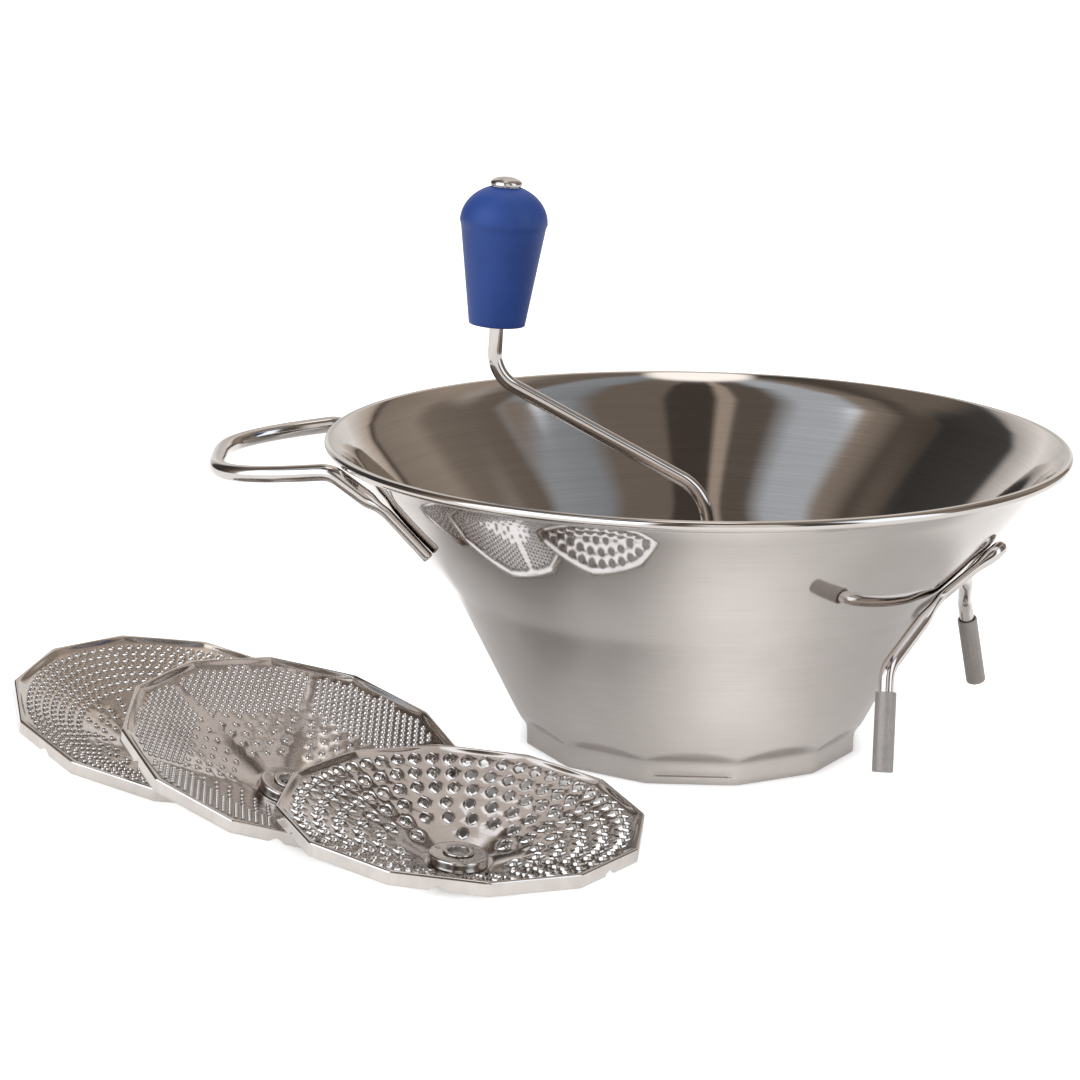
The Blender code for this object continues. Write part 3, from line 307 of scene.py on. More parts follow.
def inside_steel():
    """Brushed round and round: fine lines over broader ones, and reflections stretched across them."""
    made, tree, shader, place = finish("brushed_inside", {"Metallic": 1.0, "Roughness": 0.2, "Anisotropic": 0.8,
                                                          "Anisotropic Rotation": 0.25})
    lines = turned_lines(place, 2300.0, 2.2).noise(1.0, 3.0, 0.65)
    broad = turned_lines(place, 260.0, 1.5).noise(1.0, 3.0, 0.6)
    mixed = lines * 0.65 + broad * 0.35
    feed(tree, shader, Base_Color=mixed.ramp(0.25, 0.75).between(STEEL_DARK, STEEL),
         Roughness=0.035 + mixed * 0.07,
         Normal=bump(lines, 0.003))
    return made


looks = {"outside": outside_steel(), "inside": inside_steel()}

# %% [markdown]
# Wire is drawn through a die, so its faint lines run along it. Tubes here keep their own coordinates on the mesh, with
# the length along the wire first and the way round second, and the lines follow those.

# %% Wire, disk and small steel finishes
def own_place(tree):
    """The coordinates that a piece keeps on its own points."""
    return Wire(tree).make("ShaderNodeAttribute", {"attribute_name": "local"}, out=1)


def wire_steel(name, roughness, colour=STEEL, lines_depth=0.006):
    """Drawn metal with lines along it, a sixth darker where it is cloudy."""
    made, tree, shader, place = finish(name, {"Metallic": 1.0, "Roughness": roughness})
    along, around, _ = own_place(tree).parts()
    lines = place.joined(along * 0.05, around * 7.0, 0.0).noise(1.0, 3.0, 0.6)
    cloud = place.noise(60.0, 2.0, 0.5)
    dark = tuple(0.84 * c for c in colour)
    feed(tree, shader, Base_Color=(lines * 0.6 + cloud * 0.4).ramp(0.3, 0.7).between(dark, colour),
         Roughness=roughness * 0.7 + cloud * roughness * 0.5 + lines * 0.04,
         Normal=bump(lines, lines_depth))
    return made


def disk_steel(name, roughness):
    """Pressed sheet with faint lines round its middle, cloudy and a little worn."""
    made, tree, shader, place = finish(name, {"Metallic": 1.0, "Roughness": roughness})
    local = own_place(tree)
    radius, angle, _ = round_place(local)
    lines = place.joined(radius * 1.4, angle * 2.0, 0.0).noise(1.0, 3.0, 0.6)
    cloud = local.noise(0.09, 3.0, 0.5)
    worn = local.noise(0.9, 2.0, 0.6)
    feed(tree, shader, Base_Color=(cloud * 0.6 + lines * 0.4).ramp(0.3, 0.72).between(STEEL_DARK, STEEL),
         Roughness=roughness * 0.65 + worn * roughness * 0.7,
         Normal=bump(lines + worn, 0.008))
    return made


looks["wire"] = wire_steel("wire_steel", 0.09, lines_depth=0.004)
looks["disk"] = disk_steel("disk_steel", 0.12)
looks["small"] = wire_steel("small_steel", 0.15)
looks["strip"] = wire_steel("strip_steel", 0.26, lines_depth=0.008)
looks["spring"] = wire_steel("spring_steel", 0.2, SPRING_GREY)
looks["brass"] = wire_steel("brass", 0.28, BRASS)

# %% [markdown]
# ## Knob plastic and the grey tubes
# The knob is moulded plastic with an even, slightly frosted skin: hardly any gloss, and a fine grain that only shows
# close up. The tubes on the feet are dull, extruded, with lines along them.

# %% Blue plastic and grey tube
KNOB_BLUE_DARK, KNOB_BLUE = (0.012, 0.052, 0.25), (0.020, 0.074, 0.34)
TUBE_GREY_DARK, TUBE_GREY = (0.34, 0.31, 0.29), (0.47, 0.43, 0.41)


def knob_plastic():
    """Frosted moulding: fine grain over a slow cloud."""
    made, tree, shader, place = finish("blue_plastic", {"Roughness": 0.5, "IOR": 1.49})
    grain = place.noise(900.0, 3.0, 0.6)
    cloud = place.noise(45.0, 2.0, 0.5)
    feed(tree, shader, Base_Color=(cloud * 0.7 + grain * 0.3).ramp(0.25, 0.8).between(KNOB_BLUE_DARK, KNOB_BLUE),
         Roughness=0.42 + grain * 0.16,
         Normal=bump(grain, 0.05, 0.6))
    return made


def tube_grey():
    """Dull tube with lines along it."""
    made, tree, shader, place = finish("grey_plastic", {"Roughness": 0.45, "Metallic": 0.25})
    along, around, _ = own_place(tree).parts()
    lines = place.joined(along * 0.04, around * 9.0, 0.0).noise(1.0, 3.0, 0.6)
    grain = place.noise(700.0, 2.0, 0.6)
    feed(tree, shader, Base_Color=(lines * 0.6 + grain * 0.4).ramp(0.25, 0.75).between(TUBE_GREY_DARK, TUBE_GREY),
         Roughness=0.38 + grain * 0.14,
         Normal=bump(lines + grain, 0.02))
    return made


looks["knob"] = knob_plastic()
looks["sleeve"] = tube_grey()
print("finishes:", ", ".join(sorted(looks)))

# %% [markdown]
# ## The bowl
# One disk of steel sheet, drawn into a funnel: a steep lower cone, a knee, a flatter upper cone and a rim rolled
# outward for a soft edge. Its foot is pressed into twelve flats that hold the disks, and every third flat has a ridge
# for the bar. As a surface, its radius depends on the height and the angle, and the sheet's other side lies one
# thickness in along the surface's normal.

# %% Sizes of the bowl, in millimetres
SHEET = 1.0
FOOT_RADIUS, LOWER_SLOPE = 68.0, radians(26.5)
KNEE_HEIGHT, KNEE_BLEND, UPPER_BOW = 68.0, 6.0, 1.6
KNEE_RADIUS = FOOT_RADIUS + KNEE_HEIGHT * tan(LOWER_SLOPE)
LIP_HEIGHT, LIP_RADIUS, FLARE_HEIGHT, FLARE = 123.6, 147.0, 118.0, 0.6
BEAD_HEIGHT, BEAD_RADIUS, BEAD_CENTRE = 127.2, 2.1, 153.0
BEAD_ROWS, BEAD_OUTSIDE_ROWS = 19, 12
UPPER_SLOPE = np.arctan((LIP_RADIUS - KNEE_RADIUS) / (LIP_HEIGHT - KNEE_HEIGHT))
FACET, FLAT_RADIUS, FLAT_HEIGHT, FLAT_LEAN = radians(30.0), 68.58, 9.0, radians(47.0)
FIRST_CORNER, CORNER_SOFTNESS, LEAN_BLEND = radians(10.9), radians(0.5), 1.6
RIDGE_LOW, RIDGE_HIGH, RIDGE_DEPTH = 3.0, 6.0, 0.5
RIDGE_RISE, RIDGE_FALL, RIDGE_HALF, RIDGE_END = 0.45, 2.5, radians(13.6), radians(1.5)


# %% The wall as a function of height and angle
def cone_radius(height):
    """Two straight slopes joined at the knee: half their sum, plus half the root of their squared
    difference and a blend, which is a hyperbola."""
    above = KNEE_RADIUS + (height - KNEE_HEIGHT) * tan(UPPER_SLOPE)
    below = KNEE_RADIUS + (height - KNEE_HEIGHT) * tan(LOWER_SLOPE)
    blend = KNEE_BLEND * (tan(UPPER_SLOPE) - tan(LOWER_SLOPE))
    climb = np.clip((height - KNEE_HEIGHT) / (LIP_HEIGHT - KNEE_HEIGHT), 0, 1)
    return (above + below + np.hypot(above - below, blend)) / 2 + 4 * UPPER_BOW * climb * (1 - climb)


def third_flat(angle):
    """One on every third flat, where the press leaves a ridge for the bar, and nought on the others."""
    return (np.floor((angle - FIRST_CORNER) / FACET) + 1) % 3 == 0


def from_flat(angle, softness=0.0):
    """Angle from the middle of the nearest flat, eased near the corners by the softness."""
    off = np.abs((angle - FIRST_CORNER) % FACET - FACET / 2)
    return FACET / 2 - np.hypot(FACET / 2 - off, softness)


def soft_least(a, b, width):
    """The lesser of two values, rounded where they cross: their mean less half the rooted difference."""
    return (a + b - np.sqrt((a - b) ** 2 + width ** 2)) / 2


def smooth_step(share):
    """An even climb from 0 to 1 that starts and ends level: three squares less two cubes."""
    return share * share * (3 - 2 * share)


def wall_radius(height, angle):
    """Foot flats that lean out above the skirt, until they meet the cone."""
    share = from_flat(angle, CORNER_SOFTNESS)
    lean = (height - FLAT_HEIGHT + np.hypot(height - FLAT_HEIGHT, LEAN_BLEND)) / 2
    flat = (FLAT_RADIUS + lean * tan(FLAT_LEAN)) / np.cos(share)
    cone = cone_radius(np.maximum(height, FLAT_HEIGHT)) + np.maximum(0, FLAT_HEIGHT - height) * 0.6
    press = (np.clip((height - RIDGE_LOW) / RIDGE_RISE, 0, 1)
             * np.clip((RIDGE_HIGH - height) / RIDGE_FALL, 0, 1) ** 1.3)
    reach = np.clip((RIDGE_HALF - share) / RIDGE_END, 0, 1) * third_flat(angle)
    flare = FLARE * (np.maximum(0, height - FLARE_HEIGHT) / (LIP_HEIGHT - FLARE_HEIGHT)) ** 2
    return soft_least(flat, cone, 0.5) + flare - RIDGE_DEPTH * press * reach * reach * (3 - 2 * reach)


print("rim outside diameter:", round(2 * (BEAD_CENTRE + BEAD_RADIUS), 1), "mm")


# %% Press the bowl
def offset_inward(points, distance):
    """Moves a grid along its normals, found as the cross product of its two directions."""
    down = np.gradient(points, axis=0)
    around = (np.roll(points, -1, axis=1) - np.roll(points, 1, axis=1)) / 2
    normal = np.cross(around, down)
    return points - distance * normal / np.linalg.norm(normal, axis=2, keepdims=True)


def round_grid(radius, height, angle):
    """Points at a radius, height and angle round the z axis: x = radius * cos, y = radius * sin."""
    return np.stack([radius * np.cos(angle), radius * np.sin(angle), height + 0 * angle], -1)


def build_bowl():
    """Rows up the outside, over the bead of the rim and down the inside. They lie closer where the wall bends.
    Faces inside the bead take the second look."""
    angle = np.linspace(0, 2 * pi, 361)[None, :-1]
    steps = [(3.0, 3.6, 7), (3.9, 7.2, 12), (7.6, 18, 26), (19, 60, 16), (62, 84, 18), (86, 116, 16),
             (117.5, LIP_HEIGHT, 9)]
    levels = np.concatenate([[0, 0.4, 1.2, 2.0, 2.7]] + [np.linspace(*step) for step in steps])[:, None]
    outer = round_grid(wall_radius(levels, angle), levels, angle)
    inner = offset_inward(outer, SHEET)
    inner[0, :, 2] = 0.0
    turn = np.radians(np.linspace(-110, 130, BEAD_ROWS))[:, None]
    bead = round_grid(BEAD_CENTRE + BEAD_RADIUS * np.cos(turn), BEAD_HEIGHT + BEAD_RADIUS * np.sin(turn), angle)
    grid = np.concatenate([outer, bead, inner[::-1]])
    rows, columns = grid.shape[:2]
    quads = grid_faces(rows, columns, wrap_rows=True)
    row = np.arange(rows)[:, None] + np.zeros((1, columns))
    marks = (row.reshape(-1) > len(outer) + BEAD_OUTSIDE_ROWS).astype(int)
    marks[row.reshape(-1) == rows - 1] = 0
    return piece("bowl_pressed", grid, quads, "bowl", [looks["outside"], looks["inside"]], "bowl", marks)


bowl = build_bowl()

# %% [markdown]
# ## Bent wire
# The handle, the support and the crank are wire, bent round formers. A path is a chain of straight lines whose corners
# are rounded by arcs, and the wire is an oval carried along it. Near a weld the press flattens the wire against the
# wall, so the oval's two half sizes change along the way.

# %% Paths and tubes
def polar(reach, offset, height, azimuth):
    """A point at a reach along a compass direction and an offset to its left."""
    return np.array([reach * cos(azimuth) - offset * sin(azimuth),
                     reach * sin(azimuth) + offset * cos(azimuth), height])


def bent(corners, radii, arc_steps=14):
    """Rounds a chain's inner corners: each arc starts radius * tan(half turn) before the corner, and its
    points are the centre plus the two end radii, mixed by sines."""
    corners = np.asarray(corners, float)
    path = [corners[:1]]
    for before, corner, after, radius in zip(corners, corners[1:], corners[2:], radii):
        a, b = before - corner, after - corner
        a, b = a / np.linalg.norm(a), b / np.linalg.norm(b)
        half = np.arccos(np.clip(-a @ b, -1, 1)) / 2
        start, end = corner + a * radius * tan(half), corner + b * radius * tan(half)
        middle = (a + b) / np.linalg.norm(a + b)
        centre = corner + middle * radius / cos(half)
        t = np.linspace(0, 1, arc_steps)[:, None]
        arc = np.sin((1 - t) * 2 * half) * (start - centre) + np.sin(t * 2 * half) * (end - centre)
        path.append(centre + arc / sin(2 * half))
    path.append(corners[-1:])
    return np.concatenate(path)


def even(path, step):
    """The same path with points at equal steps of its length."""
    length = np.concatenate([[0], np.cumsum(np.linalg.norm(np.diff(path, axis=0), axis=1))])
    wanted = np.linspace(0, length[-1], max(2, int(round(length[-1] / step)) + 1))
    return np.stack([np.interp(wanted, length, column) for column in path.T], 1), wanted


def wire(path, step, normals, widths, depths, sides=24, bevel=0.5):
    """Carries an oval along a path. The oval is width * cos(t) across plus depth * sin(t) along the given
    normal, and both ends are bevelled and closed at their middle."""
    path, length = even(np.asarray(path, float), step)
    along = np.gradient(path, axis=0)
    along /= np.linalg.norm(along, axis=1, keepdims=True)
    normal = normals(path) if callable(normals) else np.broadcast_to(np.asarray(normals, float), path.shape)
    normal = normal - (normal * along).sum(1, keepdims=True) * along
    normal /= np.linalg.norm(normal, axis=1, keepdims=True)
    across = np.cross(along, normal)
    width = widths(path) if callable(widths) else np.full(len(path), float(widths))
    depth = depths(path) if callable(depths) else np.full(len(path), float(depths))
    order = np.array([0] * 4 + list(range(1, len(path) - 1)) + [len(path) - 1] * 4)
    shrink, slide = np.ones(len(order)), np.zeros(len(order))
    shrink[:4] = [0, 1 - bevel / depth[0], 1 - 0.3 * bevel / depth[0], 1]
    slide[:4] = [0, 0, 0.35 * bevel, bevel]
    shrink[-4:], slide[-4:] = shrink[:4][::-1], -slide[:4][::-1]
    centre = path[order] + along[order] * slide[:, None]
    t = np.linspace(0, 2 * pi, sides, endpoint=False)
    width, depth = (shrink * width[order])[:, None, None], (shrink * depth[order])[:, None, None]
    grid = (centre[:, None] + width * np.cos(t)[None, :, None] * across[order][:, None]
            + depth * np.sin(t)[None, :, None] * normal[order][:, None])
    local = np.stack(np.broadcast_arrays(length[order][:, None], np.sin(t)[None] * 2, np.cos(t)[None] * 2), -1)
    return grid, grid_faces(len(order), sides), local


# %% Where the wall is, for wires that lie on it
SLOPE_STEP, WIRE_STEP, CRANK_STEP = 0.05, 1.4, 1.3
FLAT_DEPTH_SHARE, FLAT_WIDTH_SHARE, WELD_GAP = 0.64, 1.22, 0.3


def wall_normal(points):
    """Outward normal of the cone at each point: the slope there tips it down."""
    height = points[:, 2]
    slope = (cone_radius(height + SLOPE_STEP) - cone_radius(height - SLOPE_STEP)) / (2 * SLOPE_STEP)
    angle = np.arctan2(points[:, 1], points[:, 0])
    normal = np.stack([np.cos(angle), np.sin(angle), -slope], 1)
    return normal / np.linalg.norm(normal, axis=1, keepdims=True)


def on_wall(half_span, height, standoff, azimuth):
    """A point that stands off the wall by a distance, at a height and sideways span."""
    radius = float(cone_radius(np.array(height)))
    reach = sqrt(radius ** 2 - half_span ** 2)
    point = polar(reach, half_span, height, azimuth)
    return point + standoff * wall_normal(point[None])[0]


def flattened_wire(path, radius, flat, sides, bevel):
    """A wire on the wall. Where flat(points) is 1, it is flattened against the wall and widened along it."""
    return wire(path, WIRE_STEP, wall_normal, lambda p: radius * (1 + (FLAT_WIDTH_SHARE - 1) * flat(p)),
                lambda p: radius * (1 + (FLAT_DEPTH_SHARE - 1) * flat(p)), sides=sides, bevel=bevel)


# %% [markdown]
# ## Handle loop
# The handle is a wide loop, squarish at its outer end, whose legs turn down at the rim and run along the wall to two
# flattened welds. The loop is a superellipse in plan.

# %% Bend the handle
HANDLE_RADIUS, LOOP_POWER, LOOP_HALF_SPAN, LOOP_LENGTH, LOOP_NECK = 3.5, 3.4, 49.3, 48.4, 12.0
LOOP_NARROWING, LOOP_DROOP, ROOT_DROP = 0.2085, 0.1026, 3.0
BEND_HALF_SPAN, BEND_DROP, END_HALF_SPAN, END_DROP, ROOT_STANDOFF_SHARE = 53.05, 17.2, 56.5, 34.9, 0.93
FLAT_START_DROP, FLAT_EASE, HANDLE_BEND = 13.0, 4.0, 12


def build_handle():
    """The loop goes out by length * cos(a) to the power 2/p and sideways by half span * sin(a) to the power 2/p,
    narrower and lower as it goes out."""
    root_radius = BEAD_CENTRE + BEAD_RADIUS + ROOT_STANDOFF_SHARE * HANDLE_RADIUS
    root_reach, root_height = sqrt(root_radius ** 2 - LOOP_HALF_SPAN ** 2), BEAD_HEIGHT - ROOT_DROP
    a = np.linspace(-pi / 2, pi / 2, 121)
    out = LOOP_LENGTH * np.abs(np.cos(a)) ** (2 / LOOP_POWER)
    side = np.sign(np.sin(a)) * np.abs(np.sin(a)) ** (2 / LOOP_POWER) * (LOOP_HALF_SPAN - LOOP_NARROWING * out)
    loop = np.stack([-(root_reach + out), -side, root_height - LOOP_DROOP * out], 1)
    standoff = HANDLE_RADIUS * FLAT_DEPTH_SHARE + WELD_GAP

    def leg(sign):
        bend = on_wall(sign * BEND_HALF_SPAN, BEAD_HEIGHT - BEND_DROP, standoff, pi)
        end = on_wall(sign * END_HALF_SPAN, BEAD_HEIGHT - END_DROP, standoff, pi)
        root = polar(root_reach, sign * LOOP_HALF_SPAN, root_height, pi)
        neck = polar(root_reach + LOOP_NECK, sign * (LOOP_HALF_SPAN - LOOP_NARROWING * LOOP_NECK),
                     root_height - LOOP_DROOP * LOOP_NECK, pi)
        return bent([end, bend, root, neck], [HANDLE_BEND, HANDLE_BEND])

    first, last = leg(-1), leg(1)
    if np.linalg.norm(first[-1] - loop[0]) > np.linalg.norm(first[-1] - loop[-1]):
        loop = loop[::-1]
    inside = loop[np.abs(loop[:, 0]) > root_reach + LOOP_NECK]
    path = np.concatenate([first[:-1], inside, last[:-1][::-1]])

    def flat(points):
        return smooth_step(np.clip((BEAD_HEIGHT - FLAT_START_DROP - points[:, 2]) / FLAT_EASE, 0, 1))

    return flattened_wire(path, HANDLE_RADIUS, flat, 28, 0.6)


grid, quads, local = build_handle()
handle = piece("handle_wire", grid, quads, "bowl", looks["wire"], "handle_loop", local=local)

# %% [markdown]
# ## Wire support and its tubes
# Opposite the handle a thinner wire is bent to a narrow V. It is flattened where it is welded to the wall, then its
# legs spread, bend down at a knee and end in grey tubes, which rest on the rim of a pan.

# %% Bend the support
SUPPORT_AZIMUTH, SUPPORT_RADIUS, APEX_HEIGHT, APEX_STANDOFF = radians(-24.6), 3.05, 100.6, 1.0
WELD_HALF_SPAN, WELD_HEIGHT, WELD_LENGTH, WELD_EXTRA = 19.9, 79.3, 21.3, 1.1
LEG_HALF_SPAN, LEG_HEIGHT, LEG_STANDOFF = 58.4, 56.8, 21.2
FOOT_HALF_SPAN, FOOT_HEIGHT, FOOT_KICK, TIP_INSET = 71.2, 18.5, 3.5, 1.8
LEG_BEND, APEX_BEND = 11, 5.2


def support_corners(sign):
    """Weld, knee and foot of the leg on one side."""
    weld = on_wall(sign * WELD_HALF_SPAN, WELD_HEIGHT, SUPPORT_RADIUS * FLAT_DEPTH_SHARE + WELD_GAP,
                   SUPPORT_AZIMUTH)
    reach = sqrt((float(cone_radius(np.array(LEG_HEIGHT))) + LEG_STANDOFF) ** 2 - LEG_HALF_SPAN ** 2)
    knee = polar(reach, sign * LEG_HALF_SPAN, LEG_HEIGHT, SUPPORT_AZIMUTH)
    foot = polar(reach + FOOT_KICK, sign * FOOT_HALF_SPAN, FOOT_HEIGHT, SUPPORT_AZIMUTH)
    return weld, knee, foot


def build_support():
    """One wire from foot to foot over the apex, flattened for a length about the welds."""
    apex = on_wall(0, APEX_HEIGHT, SUPPORT_RADIUS + APEX_STANDOFF, SUPPORT_AZIMUTH)
    legs = []
    for sign in (-1, 1):
        weld, knee, foot = support_corners(sign)
        tip = foot + (knee - foot) / np.linalg.norm(knee - foot) * TIP_INSET
        legs.append([tip, knee, weld])
    path = bent(legs[0] + [apex] + legs[1][::-1], [LEG_BEND, LEG_BEND, APEX_BEND, LEG_BEND, LEG_BEND])

    def flat(points):
        off = np.abs(points[:, 2] - WELD_HEIGHT - WELD_LENGTH / 8) / (WELD_LENGTH / 2)
        return smooth_step(np.clip(2 * (WELD_EXTRA - off), 0, 1))

    return flattened_wire(path, SUPPORT_RADIUS, flat, 24, 0.4)


grid, quads, local = build_support()
support = piece("support_wire", grid, quads, "bowl", looks["wire"], "support_stirrup", local=local)

# %% [markdown]
# ## Turned parts
# Tubes, rings, washers, screws and pins are outlines spun round an axis, with their corners rounded first.

# %% Spin an outline
def turned(outline, steps=72, place=None, wrap=False):
    """Spins an outline of (radius, height) round z: radius * cos and radius * sin of the angle, then
    moves it by a matrix. Returns the grid, its faces and its own coordinates."""
    outline = np.asarray(outline, float)
    angle = np.linspace(0, 2 * pi, steps, endpoint=False)[None]
    grid = round_grid(outline[:, :1], outline[:, 1:2], angle)
    local = np.stack(np.broadcast_arrays(outline[:, 1:2], 2 * np.sin(angle), 2 * np.cos(angle)), -1)
    if place is not None:
        grid = placed(grid, place)
    return grid, grid_faces(len(outline), steps, wrap_rows=wrap), local


def rounded(outline, radius=0.3, steps=4, closed=True):
    """Rounds the corners of an outline by arcs no longer than a third of its shorter side."""
    outline = np.asarray(outline, float)
    count = len(outline)
    result = []
    for k in range(count):
        before, corner, after = outline[k - 1], outline[k], outline[(k + 1) % count]
        if not closed and k in (0, count - 1):
            result.append(corner[None])
            continue
        a, b = before - corner, after - corner
        reach = min(radius, np.linalg.norm(a) / 3, np.linalg.norm(b) / 3)
        start, end = corner + a / np.linalg.norm(a) * reach, corner + b / np.linalg.norm(b) * reach
        t = np.linspace(0, 1, steps)[:, None]
        result.append((1 - t) ** 2 * start + 2 * t * (1 - t) * corner + t ** 2 * end)
    return np.concatenate(result)


def standing(foot, axis):
    """A matrix in millimetres whose origin is the foot and whose z is the axis."""
    spin = Vector((0, 0, 1)).rotation_difference(Vector(axis).normalized()).to_matrix().to_4x4()
    return Matrix.Translation(Vector(foot)) @ spin


def spun(name, outline, body, look, node, steps=48, place=None, wrap=True, smooth=38.0):
    """A piece made by spinning an outline; wrap closes the outline on itself, as for a ring."""
    grid, quads, local = turned(outline, steps, place, wrap)
    return piece(name, grid, quads, body, looks[look], node, local=local, smooth=smooth)


# %% Push the tubes on the feet
TUBE_RADIUS, TUBE_BORE, TUBE_END, TUBE_COVER = 4.15, 3.35, 1.5, 0.775

for side, sign in (("near", -1), ("far", 1)):
    weld, knee, foot = support_corners(sign)
    length = np.linalg.norm(knee - foot) * TUBE_COVER
    outline = [(0, 0), (TUBE_RADIUS, 0), (TUBE_RADIUS, length * 0.5), (TUBE_RADIUS, length), (TUBE_BORE, length),
               (TUBE_BORE, TUBE_END), (0, TUBE_END)]
    tube = spun("foot_tube_" + side, rounded(outline, 0.5, 5, closed=False), "bowl", "sleeve",
                "foot_sleeve_" + side, 48, standing(foot, knee - foot), wrap=False)

# %% [markdown]
# ## Crank
# One wire is the shaft, the arm and the grip pin. It leaves the bowl leaning a little, bends out, rises over the rim
# and turns up into the knob.

# %% Bend the crank
CRANK_AZIMUTH, CRANK_RADIUS, GRIP_LEAN, GRIP_LENGTH = radians(178.0), 3.0, radians(3.3), 76.8
SHAFT_FOOT, SHAFT_LEAN_START, ARM_FOOT, ELBOW_PLACE = (0, 1.6), (0, 52.0), (-7.4, 104.4), (85.2, 154.5)
CRANK_BENDS = [60, 22, 16]


def crank_point(place):
    """A point of the crank's upright plane, from its reach and height."""
    return polar(place[0], 0, place[1], CRANK_AZIMUTH)


GRIP_AXIS = crank_point((-sin(GRIP_LEAN), cos(GRIP_LEAN)))
ELBOW = crank_point(ELBOW_PLACE)
corners = [crank_point(place) for place in (SHAFT_FOOT, SHAFT_LEAN_START, ARM_FOOT)]
path = bent(corners + [ELBOW, ELBOW + GRIP_AXIS * GRIP_LENGTH], CRANK_BENDS, 24)
grid, quads, local = wire(path, CRANK_STEP, [-sin(CRANK_AZIMUTH), cos(CRANK_AZIMUTH), 0], CRANK_RADIUS, CRANK_RADIUS,
                          sides=28, bevel=0.4)
crank = piece("crank_wire", grid, quads, "rotor", looks["wire"], "crank", local=local)

# %% [markdown]
# ## Knob
# Moulded in one piece: a taper that widens to a soft ridge, then a domed crown. It turns on the grip pin between a
# pressed ring below and a washer and domed screw above. It is a profile spun round the pin's axis.

# %% Turn the knob, its ring, washer and screw
KNOB_START, KNOB_LENGTH, KNOB_WIDEST_SHARE = 21.2, 57.0, 0.745
KNOB_FOOT_RADIUS, KNOB_RADIUS, KNOB_TOP_RADIUS, KNOB_RIDGE = 11.7, 18.1, 6.2, 0.35
KNOB_BORE, SCREW_RADIUS, SCREW_FOOT = 3.3, 6.6, 0.6
grip = standing(ELBOW, GRIP_AXIS)
knob_foot = grip @ Matrix.Translation((0, 0, KNOB_START))
knob_top = grip @ Matrix.Translation((0, 0, KNOB_START + KNOB_LENGTH))


def knob_outline():
    """Taper as a straight line with an eased end, crown as an ellipse: radius = widest * root(1 - rise squared)."""
    widest, top = KNOB_LENGTH * KNOB_WIDEST_SHARE, KNOB_LENGTH
    t = np.linspace(0, 1, 28)
    taper = KNOB_FOOT_RADIUS + (KNOB_RADIUS - KNOB_RIDGE - KNOB_FOOT_RADIUS) * t
    side = np.stack([taper + KNOB_RIDGE * np.exp(-((1 - t) / 0.02) ** 2), 0.6 + (widest - 0.6) * t], 1)
    end = sqrt(1 - (KNOB_TOP_RADIUS / KNOB_RADIUS) ** 2)
    share = np.sin(np.linspace(0, pi / 2, 26)[1:]) * end
    crown = np.stack([KNOB_RADIUS * np.sqrt(1 - share ** 2), widest + (top - widest) * share / end], 1)
    foot = [(KNOB_BORE, 3.6), (5.5, 3.6), (5.5, 0.0), (11.0, 0.0), (11.35, 0.08), (11.6, 0.28)]
    return np.concatenate([foot, side, crown, [(5.7, top), (5.7, top - 1.1), (KNOB_BORE, top - 1.1)]])


knob = spun("knob_moulded", knob_outline(), "knob", "knob", "knob", 120, knob_foot, smooth=50)

outline = rounded([(KNOB_BORE, 0.3), (5.2, 0.3), (5.2, 3.3), (KNOB_BORE, 3.3)], 0.4)
spun("knob_ring", outline, "rotor", "small", "knob_collar", 48, knob_foot)

outline = rounded([(2.0, -0.8), (5.4, -0.8), (5.4, 0.0), (2.0, 0.0)], 0.2)
spun("knob_top_washer", outline, "rotor", "small", "knob_washer", 48, knob_top)

a = np.linspace(0, pi / 2, 12)
head = np.stack([SCREW_RADIUS * np.cos(a), SCREW_FOOT + 3.6 * (0.25 + 0.75 * np.sin(a))], 1)
shank = [(0, -9.0), (1.4, -9.0), (1.7, -8.7), (1.7, SCREW_FOOT), (6.3, SCREW_FOOT), (SCREW_RADIUS, 0.9)]
outline = np.concatenate([shank, head])
spun("knob_dome_screw", outline, "rotor", "small", "knob_screw", 48, knob_top, wrap=False)

# %% [markdown]
# ## Sheet parts with holes
# A flat part with holes has two skins, top and bottom, joined by its edges. The skins are filled by a Delaunay
# triangulation: the net of triangles that is as even as the points allow. It is worked out flat, in plan, and the
# points are then lifted to the pressed form.

# %% Fill the web between loops, and make a sheet part
SLIVER, NET_CLOSENESS = 0.02, 1e-6


def web(loops, fill):
    """Triangles between an outer loop, the holes' loops and loose points. The net covers the holes too, so each
    triangle with all three corners on one hole's loop is left out, and so are flat slivers along the outer loop.
    Faces are stored with a doubled corner."""
    points = np.concatenate(loops + [fill])
    owner = np.concatenate([np.full(len(loop), k) for k, loop in enumerate(loops)] + [np.full(len(fill), -1)])
    starts = np.cumsum([0] + [len(loop) for loop in loops])[:-1]
    edges = np.concatenate([np.stack([np.arange(len(loop)), np.roll(np.arange(len(loop)), -1)], 1) + first
                            for loop, first in zip(loops, starts)])
    net = delaunay_2d_cdt([Vector(p) for p in points.tolist()], edges.tolist(), [], 0, NET_CLOSENESS, True)
    source = np.array([ids[0] for ids in net[3]])
    triangles = source[np.array(net[2])]
    inside = (owner[triangles] == owner[triangles][:, :1]).all(1) & (owner[triangles[:, 0]] > 0)
    triangles = triangles[~inside]
    a, b, c = points[triangles].transpose(1, 0, 2)
    twice_area = np.cross(b - a, c - a)
    triangles[twice_area < 0] = triangles[twice_area < 0][:, ::-1]
    sliver = (owner[triangles] == 0).all(1) & (np.abs(twice_area) < SLIVER)
    return points, triangles[~sliver][:, [0, 1, 2, 2]]


